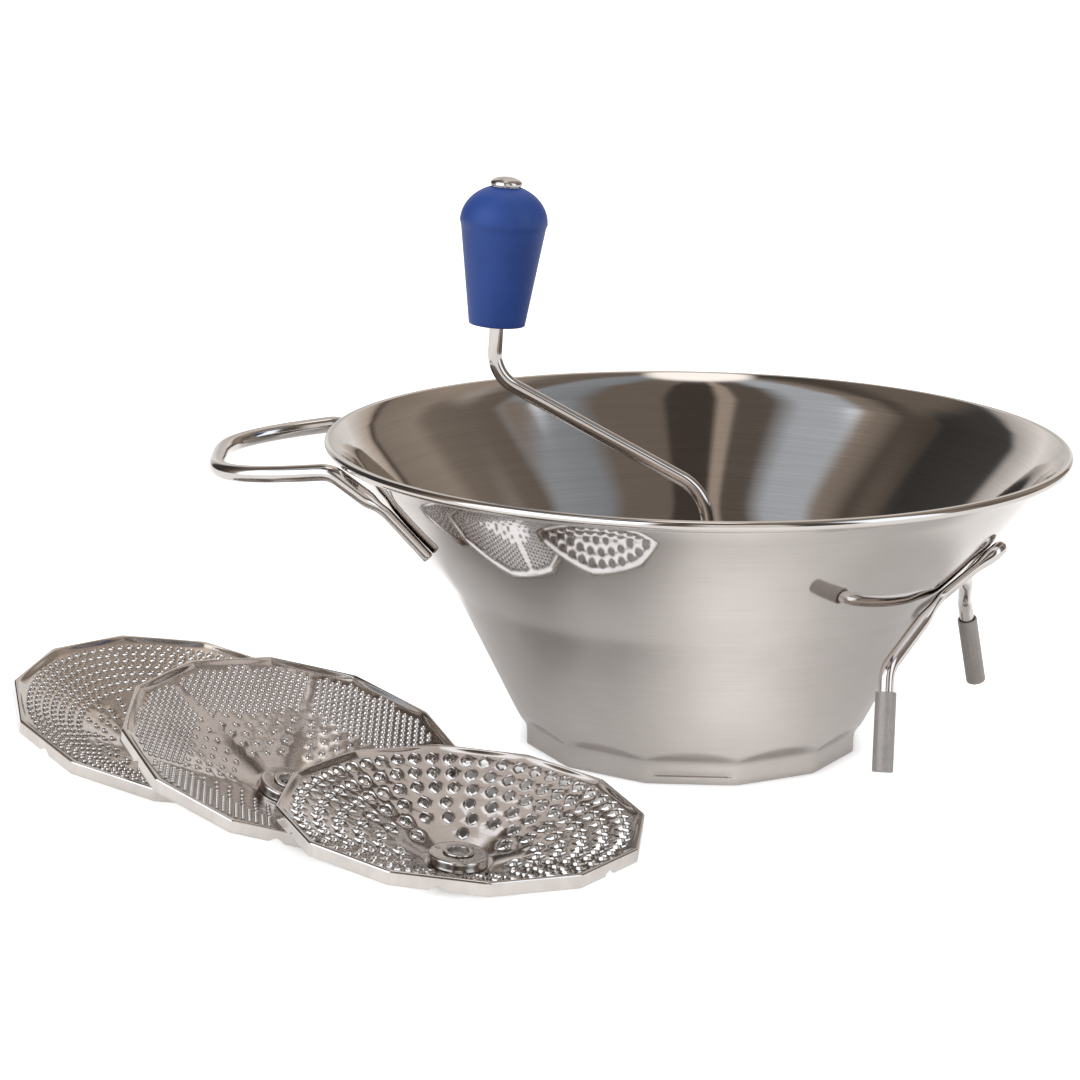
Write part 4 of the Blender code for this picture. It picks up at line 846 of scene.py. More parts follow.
def gathered(parts):
    """Puts (points, quads) parts one after another and counts their corners on."""
    counts = np.cumsum([0] + [len(points.reshape(-1, 3)) for points, _ in parts])
    return (np.concatenate([points.reshape(-1, 3) for points, _ in parts]),
            np.concatenate([quads + first for (_, quads), first in zip(parts, counts)]))


def sheet(outline, holes, fill, under, thickness, edge):
    """A sheet part: under(x, y) is the height of its lower skin. Each loop's edge is rounded by rows that step
    in along the loop's own normal, by edge * (1 - sin t), while they rise by edge * (1 - cos t)."""
    t = np.linspace(0, pi / 2, 4)
    inset = edge * np.concatenate([1 - np.sin(t), (1 - np.sin(t))[::-1]])
    low = edge * (1 - np.cos(t))
    rise = np.concatenate([low, thickness - low[::-1]])
    parts, lower, upper = [], [], []
    for k, loop in enumerate([outline] + holes):
        ahead = np.roll(loop, -1, axis=0) - np.roll(loop, 1, axis=0)
        normal = np.stack([-ahead[:, 1], ahead[:, 0]], 1) / np.linalg.norm(ahead, axis=1, keepdims=True)
        plan = loop[None] + (inset if k == 0 else -inset)[:, None, None] * normal[None]
        height = under(plan[..., 0], plan[..., 1]) + rise[:, None]
        rows = np.concatenate([plan, height[..., None]], -1)
        faces = grid_faces(len(rows), rows.shape[1])
        parts.append((rows, faces if k == 0 else faces[:, ::-1]))
        lower.append(plan[0])
        upper.append(plan[-1])
    for loops, lift in ((lower, 0.0), (upper, thickness)):
        points, faces = web(loops, fill)
        height = under(points[:, 0], points[:, 1]) + lift
        parts.append((np.concatenate([points, height[:, None]], 1), faces if lift else faces[:, ::-1]))
    return gathered(parts)


def circle(radius, count, turn=0.0):
    """Even points round a circle; turn is in steps."""
    angle = (np.arange(count) + turn) * 2 * pi / count
    return radius * np.stack([np.cos(angle), np.sin(angle)], 1)


# %% [markdown]
# ## Pressed disks
# Each disk is a dished sheet with a twelve sided skirt. A punch pushes every hole up from below, which leaves a raised
# rim that does the grating. The layout is a list of places in the disk's plane: rings of long holes, rings of round
# ones, or six fields of straight rows. Round each place numpy lays rings of points, from the lower skin up through
# the hole and down the outside of its rim.

# %% Disk sizes and its surface
DISK_CORNER, DISK_SHEET, LAND_WIDTH, LAND_DROP, FLOOR_RADIUS = 69.0, 0.8, 3.15, 1.7, 12.6
DISK_FLAT = DISK_CORNER * cos(FACET / 2)
LAND_RADIUS, DISH_SLOPE, DISH_BLEND = DISK_FLAT - LAND_WIDTH, tan(radians(20.96)), 0.3
DISH_DEPTH = LAND_DROP + (LAND_RADIUS - FLOOR_RADIUS) * DISH_SLOPE
SKIRT_DEPTH, SKIRT_ROUND, SKIRT_CHAMFER, SKIRT_INNER_TOP = 5.5, 0.9, 0.15, 1.5
NOTCH_DEPTH, NOTCH_HALF, NOTCH_SOFTNESS, NOTCH_LIFT = 1.9, 2.5, 0.55, 1.22
WEB_INNER, WEB_COUNT, BORE_RADII = 14.6, 72, [9.6, 9.4]
FILL_START, FILL_END, FILL_STEP, FILL_SPACING, FILL_ROOM = 2.2, 1.0, 2.9, 3.4, 0.7


def dish_height(radius):
    """The dish is a cone below the land, with a floor at its middle; the bend is eased by a hyperbola."""
    cone = -LAND_DROP - (LAND_RADIUS - radius) * DISH_SLOPE
    return (cone - DISH_DEPTH + np.sqrt((cone + DISH_DEPTH) ** 2 + DISH_BLEND)) / 2


# %% Where the holes are
# In millimetres: half length, half width, how far the lip reaches and how high it is pushed. end is the lip's reach
# at the ends of a long hole, as a share of that at its sides. The rim's slope meets the sheet at LIP_REACH lips.
LIP_REACH = 1.9
LONG = {"points": 16, "long": 2.95, "wide": 1.7, "lip": 0.5, "lift": 1.5, "end": 0.6}
ROUND = {"points": 10, "long": 0.85, "wide": 0.85, "lip": 0.36, "lift": 0.75, "end": 1.0}
TINY = {"points": 8, "long": 0.5, "wide": 0.5, "lip": 0.4, "lift": 0.75, "end": 1.0}


def ring_places(rings):
    """Equal steps round circles, given as (radius, count); every second circle is turned half a step."""
    return np.concatenate([circle(radius, count, 0.5 * (k % 2)) for k, (radius, count) in enumerate(rings)])


def field_places(bearing, rows, reach):
    """Six fields, one every sixty degrees: u is a row's distance from the middle and v the place along it,
    then x = u cos b - v sin b and y = u sin b + v cos b."""
    spots = []
    for k, (u, pitch) in enumerate(rows):
        room = u * tan(pi / 6) - 0.42 * pitch
        v = (np.arange(-20, 21) + 0.5 * (k % 2)) * pitch
        v = v[(np.abs(v) <= room) & (np.hypot(u, v) <= reach)]
        spots.append(np.stack([np.full(len(v), u), v], 1))
    u, v = np.concatenate(spots).T
    b = bearing + np.arange(6)[:, None] * pi / 3
    return np.stack([u * np.cos(b) - v * np.sin(b), u * np.sin(b) + v * np.cos(b)], -1).reshape(-1, 2)


COARSE_RINGS = [(59.8, 54), (52.2, 44), (44.5, 38), (36.7, 26), (28.9, 20), (21.2, 7)]
MEDIUM_RINGS = [(61.15, 89), (57.9, 88), (54.5, 85), (51.1, 80), (47.6, 74), (43.9, 68), (40.1, 62), (36.4, 18),
                (32.9, 26), (29.5, 27), (25.9, 18)]
FINE_ROWS = [(62.1 - 2.26 * k, 3.05) for k in range(10)] + [(u, 6.3) for u in (39.4, 35.2, 31.0, 26.2, 21.6)]
FINE_BEARING, FINE_REACH = radians(44.0), 62.3
LAYOUTS = {"coarse": (LONG, ring_places(COARSE_RINGS)), "medium": (ROUND, ring_places(MEDIUM_RINGS)),
           "fine": (TINY, field_places(FINE_BEARING, FINE_ROWS, FINE_REACH))}
print("holes:", {grade: len(places) for grade, (_, places) in LAYOUTS.items()})


# %% Rings of points round a hole
def hole_outline(spec):
    """Reach of the hole in each direction. Round holes: a constant. Long ones: a hexagon with soft corners, as
    a high power mean of its two straight sides and its four slanted ones."""
    t = np.arange(spec["points"]) * 2 * pi / spec["points"]
    if spec["long"] == spec["wide"]:
        return t, np.full(len(t), spec["long"])
    c, s = np.abs(np.cos(t)), np.abs(np.sin(t))
    slant = c / spec["long"] + s * (1 - 1.2 / spec["long"]) / spec["wide"]
    return t, ((s / spec["wide"]) ** 8 + slant ** 8) ** (-1 / 8)


def hole_rings(spec, places):
    """For every hole, rows of (distance out from its edge, height over the sheet). Long holes are lifted most
    along their sides, by the square of the sine of the direction."""
    t, reach = hole_outline(spec)
    lip, lift = spec["lip"], spec["lift"]
    profile = [(0.45, -DISK_SHEET), (0.0, -DISK_SHEET * 0.55), (0.0, lift * 0.85), (lip * 0.4, lift),
               (lip * 0.85, lift * 0.5), (lip * 1.45, lift * 0.06), (lip * LIP_REACH, 0.0)]
    grow, height = np.array(profile).T[:, :, None]
    along = (reach + grow * spec["end"]) * np.cos(t)
    across = (reach + grow) * np.sin(t)
    side = 1.0 if spec["end"] == 1.0 else 0.35 + 0.65 * np.sin(t) ** 2
    height = np.where(height > 0, height * side, height)
    heading = np.arctan2(places[:, 1], places[:, 0])[:, None, None]
    x = places[:, 0, None, None] + along * np.cos(heading) - across * np.sin(heading)
    y = places[:, 1, None, None] + along * np.sin(heading) + across * np.cos(heading)
    return np.stack([x, y, dish_height(np.hypot(x, y)) + height], -1)


# %% The skirt and the land
def edge_radius(angle, inset):
    """The twelve sided edge: the flat's distance over the cosine of the angle from its middle, with eased
    corners."""
    off = np.abs(angle % FACET - FACET / 2)
    return (DISK_FLAT - inset) / np.cos(FACET / 2 - np.hypot(FACET / 2 - off, radians(0.35)))


def edge_angles():
    """Angles round the edge, closer together at the corners and at the notches."""
    step = np.radians([-14.95, -14.6, -14, -12.5, -11, -9.5, -8, -6.5, -5, -3.5, -2.6, -2.1, -1.7, -1.3, -0.9, -0.5])
    one = np.concatenate([step, [0.0], -step[::-1]]) + FACET / 2
    return (np.arange(12)[:, None] * FACET + one[None]).reshape(-1)


def skirt_points(angle):
    """Rows from the land over the rounded edge, down the skirt, round its lower edge and back up inside. Every
    second flat has a notch in its lower edge, a triangle with a soft top."""
    angle = angle[None]
    sideways = DISK_FLAT * np.tan(np.abs(angle % FACET - FACET / 2))
    even_flat = np.floor(angle / FACET) % 2 == 0
    taper = np.clip(NOTCH_LIFT - np.hypot(sideways, NOTCH_SOFTNESS) / NOTCH_HALF, 0, 1)
    low = -SKIRT_DEPTH + NOTCH_DEPTH * taper * even_flat
    rows = []

    def row(radius, height):
        rows.append(round_grid(radius, height, angle))

    land = float(dish_height(np.array(LAND_RADIUS)))
    for share in (0.0, 0.3, 0.6, 0.8):
        row(LAND_RADIUS + (edge_radius(angle, SKIRT_ROUND) - LAND_RADIUS) * share, land * (1 - smooth_step(share)))
    for t in np.linspace(0, pi / 2, 7):
        row(edge_radius(angle, SKIRT_ROUND * (1 - sin(t))), -SKIRT_ROUND * (1 - cos(t)))
    for share in (0.3, 0.65, 1.0):
        row(edge_radius(angle, 0.0), -SKIRT_ROUND + (low + SKIRT_CHAMFER + SKIRT_ROUND) * share)
    row(edge_radius(angle, SKIRT_CHAMFER), low)
    row(edge_radius(angle, DISK_SHEET - SKIRT_CHAMFER), low)
    for share in (0.0, 0.4, 1.0):
        row(edge_radius(angle, DISK_SHEET),
            low + SKIRT_CHAMFER + (-SKIRT_INNER_TOP - low - SKIRT_CHAMFER) * share)
    row(edge_radius(angle, DISK_SHEET + 0.4), -DISK_SHEET - 0.35)
    row(edge_radius(angle, DISK_SHEET + 1.1), -DISK_SHEET - 0.45)
    row(LAND_RADIUS + 0 * angle, land - DISK_SHEET)
    return np.concatenate(rows)


# %% Join skirt, holes, web and floor
def build_perforated(spec, places):
    """One closed sheet in the disk's own coordinates: the skirt, the rings of all holes, the web between them on
    both skins, and the floor with its bore."""
    angle = edge_angles()
    skirt = skirt_points(angle)
    parts = [(skirt, grid_faces(len(skirt), len(angle))[:, ::-1])]
    rings = hole_rings(spec, places)
    count, rows, columns = rings.shape[:3]
    faces = grid_faces(rows, columns)[:, ::-1]
    parts.append((rings, (faces[None] + np.arange(count)[:, None, None] * rows * columns).reshape(-1, 4)))
    land = LAND_RADIUS * np.stack([np.cos(angle), np.sin(angle)], 1)
    inner = circle(WEB_INNER, WEB_COUNT)
    reach = spec["long"] + spec["lip"] * LIP_REACH + FILL_ROOM
    radii = np.arange(WEB_INNER + FILL_START, LAND_RADIUS - FILL_END, FILL_STEP)
    fill = np.concatenate([circle(r, int(2 * pi * r / FILL_SPACING), 0.5 * (k % 2)) for k, r in enumerate(radii)])
    apart = np.linalg.norm(fill[:, None] - places[None], axis=2).min(1)
    fill = fill[apart > reach]
    for skin, lift in ((rings[:, -1], 0.0), (rings[:, 0], -DISK_SHEET)):
        points, faces = web([land] + list(skin[..., :2]) + [inner], fill)
        height = dish_height(np.hypot(points[:, 0], points[:, 1])) + lift
        parts.append((np.concatenate([points, height[:, None]], 1), faces[:, ::-1] if lift else faces))
    radii = np.concatenate([np.linspace(WEB_INNER, FLOOR_RADIUS - 1.5, 9), BORE_RADII])
    radii, drop = np.concatenate([radii, radii[::-1]]), np.repeat([0.0, DISK_SHEET], len(radii))
    angle = np.arctan2(inner[:, 1], inner[:, 0])[None]
    floor = round_grid(radii[:, None], (dish_height(radii) - drop)[:, None], angle)
    parts.append((floor, grid_faces(len(radii), WEB_COUNT)))
    return gathered(parts)


# %% Where the disks lie
def disk_place(x, y, lift, tilt, downhill, turn):
    """A disk rests on the foot of its dish, tilted downhill and turned about its own axis."""
    depth = DISH_DEPTH + DISK_SHEET
    height = depth * cos(tilt) + FLOOR_RADIUS * sin(tilt) + lift
    lean = Matrix.Rotation(downhill, 4, "Z") @ Matrix.Rotation(tilt, 4, "Y")
    return Matrix.Translation((x, y, height)) @ lean @ Matrix.Rotation(turn - downhill, 4, "Z")


PLACES = {
    "coarse": disk_place(-98.1, -171.4, 1.2, radians(4.89), radians(-31.0), radians(7.68)),
    "fine": disk_place(-161.8, -105.9, 3.8, radians(16.86), radians(-43.7), radians(13.1)),
    "medium": disk_place(-211.3, -49.8, 0.0, radians(14.0), radians(-42.8), radians(27.36)),
}

for grade, (spec, places) in LAYOUTS.items():
    local, quads = build_perforated(spec, places)
    disk = piece("disk_" + grade + "_pressed", placed(local, PLACES[grade]), quads, "disk_" + grade, looks["disk"],
                 "disk_" + grade, local=local, smooth=50)

# %% [markdown]
# ## Caps and eyelets
# A pressed cap covers the middle of each disk. Three spot welds hold it, each a small dimple, and a flanged eyelet
# lines the hole for the shaft.

# %% Turn the caps and eyelets
CAP_RADIUS, CAP_BORE, CAP_SHEET, CAP_HEIGHT, CAP_GAP, CAP_ROUND = 11.2, 5.2, 1.0, 4.2, 0.3, 1.4
SPOT_REACH, SPOT_RADIUS, SPOT_DEPTH = 8.1, 0.8, 0.45
EYELET_BORE, EYELET_BARREL, EYELET_FLANGE, EYELET_DEPTH = 3.9, 4.9, 6.0, 2.0

for grade, place in PLACES.items():
    floor, top = -DISH_DEPTH + CAP_GAP, -DISH_DEPTH + CAP_HEIGHT
    under, wall = top - CAP_SHEET, CAP_RADIUS - CAP_SHEET
    outline = np.array([(wall, floor), (CAP_RADIUS, floor), (CAP_RADIUS, top), (CAP_BORE, top), (CAP_BORE, under),
                        (wall, under)])
    outline = rounded(outline, CAP_ROUND, 8)
    # The flat top gets more rows, between the corner's arc and the bore, for the dimples
    flat_part = np.linspace(0, 1, 9)[1:-1, None] * (np.array([(5.7, top)]) - (9.6, top)) + (9.6, top)
    split = int(np.argmin(np.abs(outline - (9.8, top)).sum(1))) + 1
    outline = np.concatenate([outline[:split], flat_part, outline[split:]])
    grid, quads, local = turned(outline, 120, None, wrap=True)
    apart = np.linalg.norm(grid[..., None, :2] - circle(SPOT_REACH, 3, 0.25), axis=-1)
    upper = np.clip((grid[..., 2] - top + 0.6) / 0.5, 0, 1)
    grid[..., 2] -= SPOT_DEPTH * np.exp(-(apart / SPOT_RADIUS) ** 4).sum(-1) * upper
    piece("hub_cap_" + grade + "_pressed", placed(grid, place), quads, "disk_" + grade, looks["small"],
                  "hub_cap_" + grade, local=local, smooth=60)
    flange, end = top + CAP_GAP, top - EYELET_DEPTH
    outline = [(EYELET_BORE, end), (EYELET_BARREL, end), (EYELET_BARREL, flange), (EYELET_FLANGE, flange),
               (5.8, flange + 0.5), (5.0, flange + 0.6), (4.2, flange + 0.5), (EYELET_BORE, flange + 0.2)]
    spun("eyelet_" + grade + "_rolled", rounded(outline, 0.3, 4), "disk_" + grade, "small",
                 "eyelet_" + grade, 48, place, smooth=60)

# %% [markdown]
# ## Bar, bush, washers and spring
# Inside the base an arched strip of steel holds the shaft. Its two tongues hook under the pressed ridges. A flanged
# bush in its crown is the bearing. A spring between two washers pulls the shaft down against it, and a cross pin
# through the shaft keeps the lower washer on. These are sheet, turned and wound parts.

# %% Cut and arch the bar
BAR_LINE = FIRST_CORNER - FACET / 2
BAR_TIP, BAR_SHOULDER, BAR_CROWN, BAR_THICKNESS = 66.9, 57.9, 15.0, 1.8
TONGUE_HALF, BAR_HALF, BAR_ROUND, BAR_BORE, BAR_EASE = 4.0, 8.0, 2.2, 4.9, 3.0
TONGUE_LEVEL, CROWN_LEVEL = 1.1, 19.4


def eased(x, width):
    """0 before x = 0 and x after it, with the bend eased over a width: half of x plus its rooted square."""
    return (x + np.sqrt(x * x + width * width)) / 2


def bar_under(x, y):
    """Height of the bar's lower side: level tongues, a straight climb and a level crown."""
    slope = (CROWN_LEVEL - TONGUE_LEVEL) / (BAR_SHOULDER - BAR_CROWN)
    return TONGUE_LEVEL + slope * (eased(BAR_SHOULDER - np.abs(x), BAR_EASE)
                                   - eased(BAR_CROWN - np.abs(x), BAR_EASE))


half = [(-BAR_TIP, -TONGUE_HALF), (-BAR_SHOULDER, -BAR_HALF), (0, -BAR_HALF), (BAR_SHOULDER, -BAR_HALF),
        (BAR_TIP, -TONGUE_HALF)]
outline = rounded(np.array(half + [(x, -y) for x, y in half[::-1]]), BAR_ROUND, 5)
outline, _ = even(np.concatenate([outline, outline[:1]]), 2.0)
x, y = np.meshgrid(np.arange(-60, 61, 3.0), [-4.5, -1.5, 1.5, 4.5])
fill = np.stack([x.reshape(-1), y.reshape(-1)], 1)
fill = fill[np.hypot(fill[:, 0], fill[:, 1]) > 6.6]
points, quads = sheet(outline[:-1], [circle(BAR_BORE, 36)], fill, bar_under, BAR_THICKNESS, 0.4)
local = np.stack([points[:, 0], points[:, 1] * 0.5, points[:, 2] * 0.5], 1)
bar = piece("bar_arched", placed(points, Matrix.Rotation(BAR_LINE, 4, "Z")), quads, "bar", looks["strip"],
            "retaining_bar", local=local)

# %% Bush, washers, spring and pins
SHAFT_BORE, BUSH_RADIUS, BUSH_SHOULDER, BUSH_FLANGE, BUSH_TOP = 3.3, 4.6, 21.5, 7.2, 22.3
WASHER_RADIUS, WASHER_SHEET, UPPER_WASHER, LOWER_WASHER = 8.2, 0.9, 18.2, 5.4
SPRING_RADIUS, SPRING_WIRE, SPRING_TURNS, SPRING_LOW, SPRING_HIGH = 6.3, 0.75, 3.5, 7.35, 17.15

outline = [(SHAFT_BORE, CROWN_LEVEL), (BUSH_RADIUS, CROWN_LEVEL), (BUSH_RADIUS, BUSH_SHOULDER),
           (BUSH_FLANGE, BUSH_SHOULDER), (BUSH_FLANGE, BUSH_TOP), (SHAFT_BORE, BUSH_TOP)]
spun("bush_turned", rounded(outline, 0.25), "bar", "brass", "bar_bush", 64)

for name, level, body in (("upper", UPPER_WASHER, "bar"), ("lower", LOWER_WASHER, "washer")):
    outline = [(SHAFT_BORE, level), (WASHER_RADIUS, level), (WASHER_RADIUS, level + WASHER_SHEET),
               (SHAFT_BORE, level + WASHER_SHEET)]
    spun("washer_" + name, rounded(outline, 0.25), body, "small", "spring_washer_" + name, 64)

# The spring is a helix. It is pressed together under the upper washer when the shaft is lifted.
t = np.linspace(0, 1, 240)
rise = SPRING_LOW + (SPRING_HIGH - SPRING_LOW) * t
helix = round_grid(SPRING_RADIUS, rise, 2 * pi * SPRING_TURNS * t)
grid, quads, local = wire(helix, 0.6, lambda p: p * [1, 1, 0], SPRING_WIRE, SPRING_WIRE, sides=14, bevel=0.2)
spring = piece("spring_wound", grid, quads, "bar", looks["spring"], "pressure_spring", local=local)
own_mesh(spring)


def cross_pin(name, node, height, radius, length):
    """A round pin across the shaft, with bevelled ends."""
    outline = rounded([(0, 0), (radius, 0), (radius, length), (0, length)], 0.3, 4, closed=False)
    place = standing((0, -length / 2, height), (0, 1, 0))
    spun(name, outline, "rotor", "small", node, 32, place, wrap=False)


cross_pin("pin_lock", "lock_pin", 4.0, 1.1, 14.0)
cross_pin("pin_hub", "hub_pin", 43.0, 1.25, 16.0)

# %% [markdown]
# ## Scraper
# The scraper is a ramp of sheet that winds round a turned hub. Its leading edge stands high and its trailing edge runs
# just over the disk, so turning it presses the food down through the holes.

# %% Turn the hub and wind the blade
BLADE_LEAD, BLADE_SWEEP, BLADE_RISE, BLADE_SHEET = radians(75.0), radians(205.0), 17.0, 1.5
BLADE_INNER, BLADE_LEDGE, BLADE_TIP, HUB_LEDGE_LEVEL = 8.3, 13.0, 62.98, 31.1
LEDGE_SHARE, TIP_CUT, LAND_LEVEL, BLADE_LIFT, BLADE_END = 0.25, 0.26, 7.9, 0.8, 0.003
HUB_BORE, HUB_FOOT, HUB_TOP, HUB_BARREL, HUB_SHOULDER, HUB_SEAT = 3.15, 22.6, 50.0, 8.0, 11.5, 8.8

outline = [(HUB_BORE, HUB_FOOT), (HUB_SEAT, HUB_FOOT), (HUB_SEAT, 27.8), (HUB_SHOULDER, 27.8), (HUB_SHOULDER, 30.2),
           (HUB_BARREL, 30.8), (HUB_BARREL, HUB_TOP), (HUB_BORE, HUB_TOP)]
spun("hub_turned", rounded(outline, 1.1, 6), "rotor", "small", "blade_hub", 96)


def blade_point(turn, share):
    """Lower side of the blade. turn runs along the sweep and share outward. The tip is longest at mid sweep, and
    the height over the disk falls as (1 - turn) to the power 1.5."""
    tip = BLADE_TIP * (1 - TIP_CUT * (1 - np.sin(pi * np.clip(turn, 0, 1))) ** 2)
    radius = np.where(share < LEDGE_SHARE, BLADE_INNER + (BLADE_LEDGE - BLADE_INNER) * share / LEDGE_SHARE,
                      BLADE_LEDGE + (tip - BLADE_LEDGE) * (share - LEDGE_SHARE) / (1 - LEDGE_SHARE))
    climb = BLADE_RISE * (1 - np.clip(turn, 0, 1)) ** 1.5
    low = LAND_LEVEL + (LAND_RADIUS - radius) * DISH_SLOPE + BLADE_LIFT + climb * (1 + share) / 2
    ease = np.clip((2 * LEDGE_SHARE - share) / LEDGE_SHARE, 0, 1)
    low = low + (np.maximum(low, HUB_LEDGE_LEVEL) - low) * ease * ease * (3 - 2 * ease)
    angle = BLADE_LEAD - BLADE_SWEEP * turn
    return radius, angle, low


def build_blade():
    """A closed section, lower side out and upper side back, carried along the sweep; its thickness eases off at
    both ends and its edges."""
    end = np.array([0.0, 0.25, 0.6, 1.0])
    turn = np.concatenate([-BLADE_END * (1 - end), np.linspace(0, 1, 110)[1:-1], 1 + BLADE_END * (1 - end[::-1])])
    thick = np.ones(len(turn))
    thick[:4], thick[-4:] = 0.4 + 0.6 * np.sqrt(end), 0.4 + 0.6 * np.sqrt(end[::-1])
    share = np.concatenate([[0.0, 0.004, 0.012], np.linspace(0.03, 0.97, 30), [0.991, 0.997, 1.0]])
    edge = np.ones(len(share))
    edge[:3], edge[-3:] = [0.4, 0.8, 0.95], [0.95, 0.8, 0.4]
    radius, angle, low = blade_point(turn[:, None], share[None])
    half = BLADE_SHEET / 2 * thick[:, None] * edge[None]
    sides = [round_grid(radius, low + BLADE_SHEET / 2 + sign * half, angle) for sign in (-1, 1)]
    section = np.concatenate([sides[0], sides[1][:, ::-1]], 1)
    n, stations = len(share), len(turn)
    j = np.arange(n - 1)
    cap = np.stack([j, j + 1, 2 * n - 2 - j, 2 * n - 1 - j], 1)
    quads = np.concatenate([grid_faces(stations, 2 * n), cap[:, ::-1], cap + (stations - 1) * 2 * n])
    across = np.concatenate([radius, radius[:, ::-1]], 1) * 0.35
    local = np.stack(np.broadcast_arrays(turn[:, None] * 150, across, 0.0), -1)
    return piece("blade_wound", section, quads, "rotor", looks["strip"], "scraper_blade", local=local, smooth=40)


build_blade()

# %% [markdown]
# ## Floor, light and camera
# The floor is white and keeps the shadows. Two large soft lamps hang over the table, which mirrors don't see. The
# background is white where the camera looks at it, and an even light comes from it to everything that is matt.

# %% Floor
FLOOR_SIZE, FLOOR_LEVEL, CONTACT_REACH, COVER_REACH, COVER_GAIN = 6.0, -0.05 * MM, 0.008, 0.10, 1.8
# The second colour is the board's painted shade behind the disks, seen by the camera and through clear pieces
BOARD, PAINTED_SHADE_BOARD = (0.8, 0.8, 0.8), (0.34, 0.32, 0.31)
# Where painted shade darkens the floor behind the disks, in metres: east, north and reach
SHADES = [(-0.103, -0.106, 0.071), (-0.165, -0.038, 0.060), (-0.216, 0.008, 0.060)]
SEEN_GLOW, POOL_GLOW, FAR_GLOW, SHADE_SHARE = 0.8, 0.60, 0.45, 0.30


def build_floor():
    """A wide square just under the feet. It answers light as pale matt board, and a glow that only the
    camera and mirrors see takes it up to white. The glow is multiplied by how open the floor is to the room,
    so it fades where a piece nearly touches it. Behind each disk a painted shade darkens the board's colour and
    cuts the glow, as far as a piece covers it, so that the holes look dark. What mirrors see is a painted pool of
    light round the bowl's foot, with painted shade behind the disks, and a bright floor further out."""
    mesh = bpy.data.meshes.new("floor")
    corners = [(FLOOR_SIZE * x, FLOOR_SIZE * y, FLOOR_LEVEL) for x, y in ((-1, -1), (1, -1), (1, 1), (-1, 1))]
    mesh.from_pydata(corners, [], [(0, 1, 2, 3)])
    made = bpy.data.objects.new("floor", mesh)
    bpy.context.scene.collection.objects.link(made)
    look, tree, shader, place = finish("floor_board", {"Base Color": (*BOARD, 1.0), "Roughness": 0.8,
                                                       "Specular IOR Level": 0.0})
    camera_ray, mirror, through = ray_kinds(tree)

    def open_share(reach):
        return Wire(tree).make("ShaderNodeAmbientOcclusion", {"samples": 8}, {"Distance": reach}, out=1)

    openness = open_share(CONTACT_REACH)
    x, y, _ = place.parts()
    radius = (x * x + y * y).root()
    # pool is a painted pool of light round the bowl's foot, which only mirrors see
    across, out = (x - 0.02) / 0.06, (radius - 0.105) / 0.05
    pool = 1 / (across * across + out * out + 1)
    far = radius.ramp(0.165, 0.200)
    # card and shade are painted shade behind each disk: card darkens the board and the camera's glow, shade dims what
    # mirrors see
    card, shade = 0, 0
    for east, north, reach in SHADES:
        gap = ((x - east) * (x - east) + (y - north) * (y - north)).root()
        card = gap.ramp(reach + 0.006, reach - 0.020) + card
        shade = gap.ramp(reach + 0.040, reach - 0.030) + shade
    covered = 1 - open_share(COVER_REACH)
    card = card.maths("MINIMUM", card * covered * COVER_GAIN, 1)
    shade = shade.maths("MINIMUM", shade, 1)
    feed(tree, shader, Base_Color=(card * (camera_ray + through)).between(BOARD, PAINTED_SHADE_BOARD))
    seen = (camera_ray + through) * openness * (1 - card) * SEEN_GLOW
    mirrored = (mirror * openness * (1 - shade * SHADE_SHARE)
                * (pool * POOL_GLOW * (1 - far) + far * FAR_GLOW))
    glow = Wire(tree).make("ShaderNodeEmission", None, {"Strength": seen + mirrored})
    both = Wire(tree).make("ShaderNodeAddShader", None, {0: Wire(tree, shader.outputs[0]), 1: glow})
    tree.links.new(both.socket, tree.nodes["Material Output"].inputs[0])
    mesh.materials.append(look)
    return made


build_floor()

# %% [markdown]
# ## What the steel mirrors
# Metal sees a ring of panels and darker gaps between them, as in a small studio: the compass angle of the direction
# picks the panel. A second ring serves the steep directions, which the loose disks mirror. A third serves the low
# ones on the camera's side, which the wires and the rims of the holes mirror. A bright ceiling panel hangs straight
# above. Cards are neutral, the room behind them is warm, and the windows' light is cool.

# %% World
world = bpy.data.worlds.new("studio")
bpy.context.scene.world = world
world.use_nodes = True
tree = world.node_tree
back = tree.nodes["Background"]
camera_ray, mirror, through = ray_kinds(tree)
east, north, rise = Wire(tree).make("ShaderNodeTexCoord", out=0).parts()
compass = east.maths("ARCTAN2", east, north) * (180 / pi)
# Each stop is a compass angle in degrees, a brightness and a tint; between two stops both change evenly
PANELS = [(-180, 0.065, "room"), (-167, 0.065, "room"), (-163, 0.42, "room"), (-157, 0.40, "room"),
          (-154, 0.12, "room"), (-137, 0.12, "room"), (-123, 0.58, "sky"), (-100, 0.60, "sky"), (-94, 0.27, "room"),
          (-87, 0.24, "room"), (-79, 0.09, "room"), (-66, 0.08, "room"), (-64, 0.045, "card"), (-34, 0.07, "card"),
          (-30, 0.55, "card"), (-16, 1.0, "card"), (-4, 0.66, "card"), (10, 0.70, "card"), (21, 0.95, "card"),
          (33, 0.50, "room"), (35, 0.07, "room"), (38, 0.27, "room"), (56, 0.34, "room"), (63, 0.22, "room"),
          (90, 0.16, "room"), (95, 0.40, "sky"), (122, 0.32, "sky"), (132, 0.18, "room"), (165, 0.18, "room"),
          (169, 0.065, "room")]
HIGH = [(-180, 0.16, "room"), (-90, 0.16, "room"), (-30, 0.18, "room"), (-12, 0.40, "room"), (0, 0.85, "card"),
        (25, 0.85, "room"), (40, 0.42, "room"), (60, 0.36, "room"), (80, 0.55, "card"), (110, 0.25, "room")]
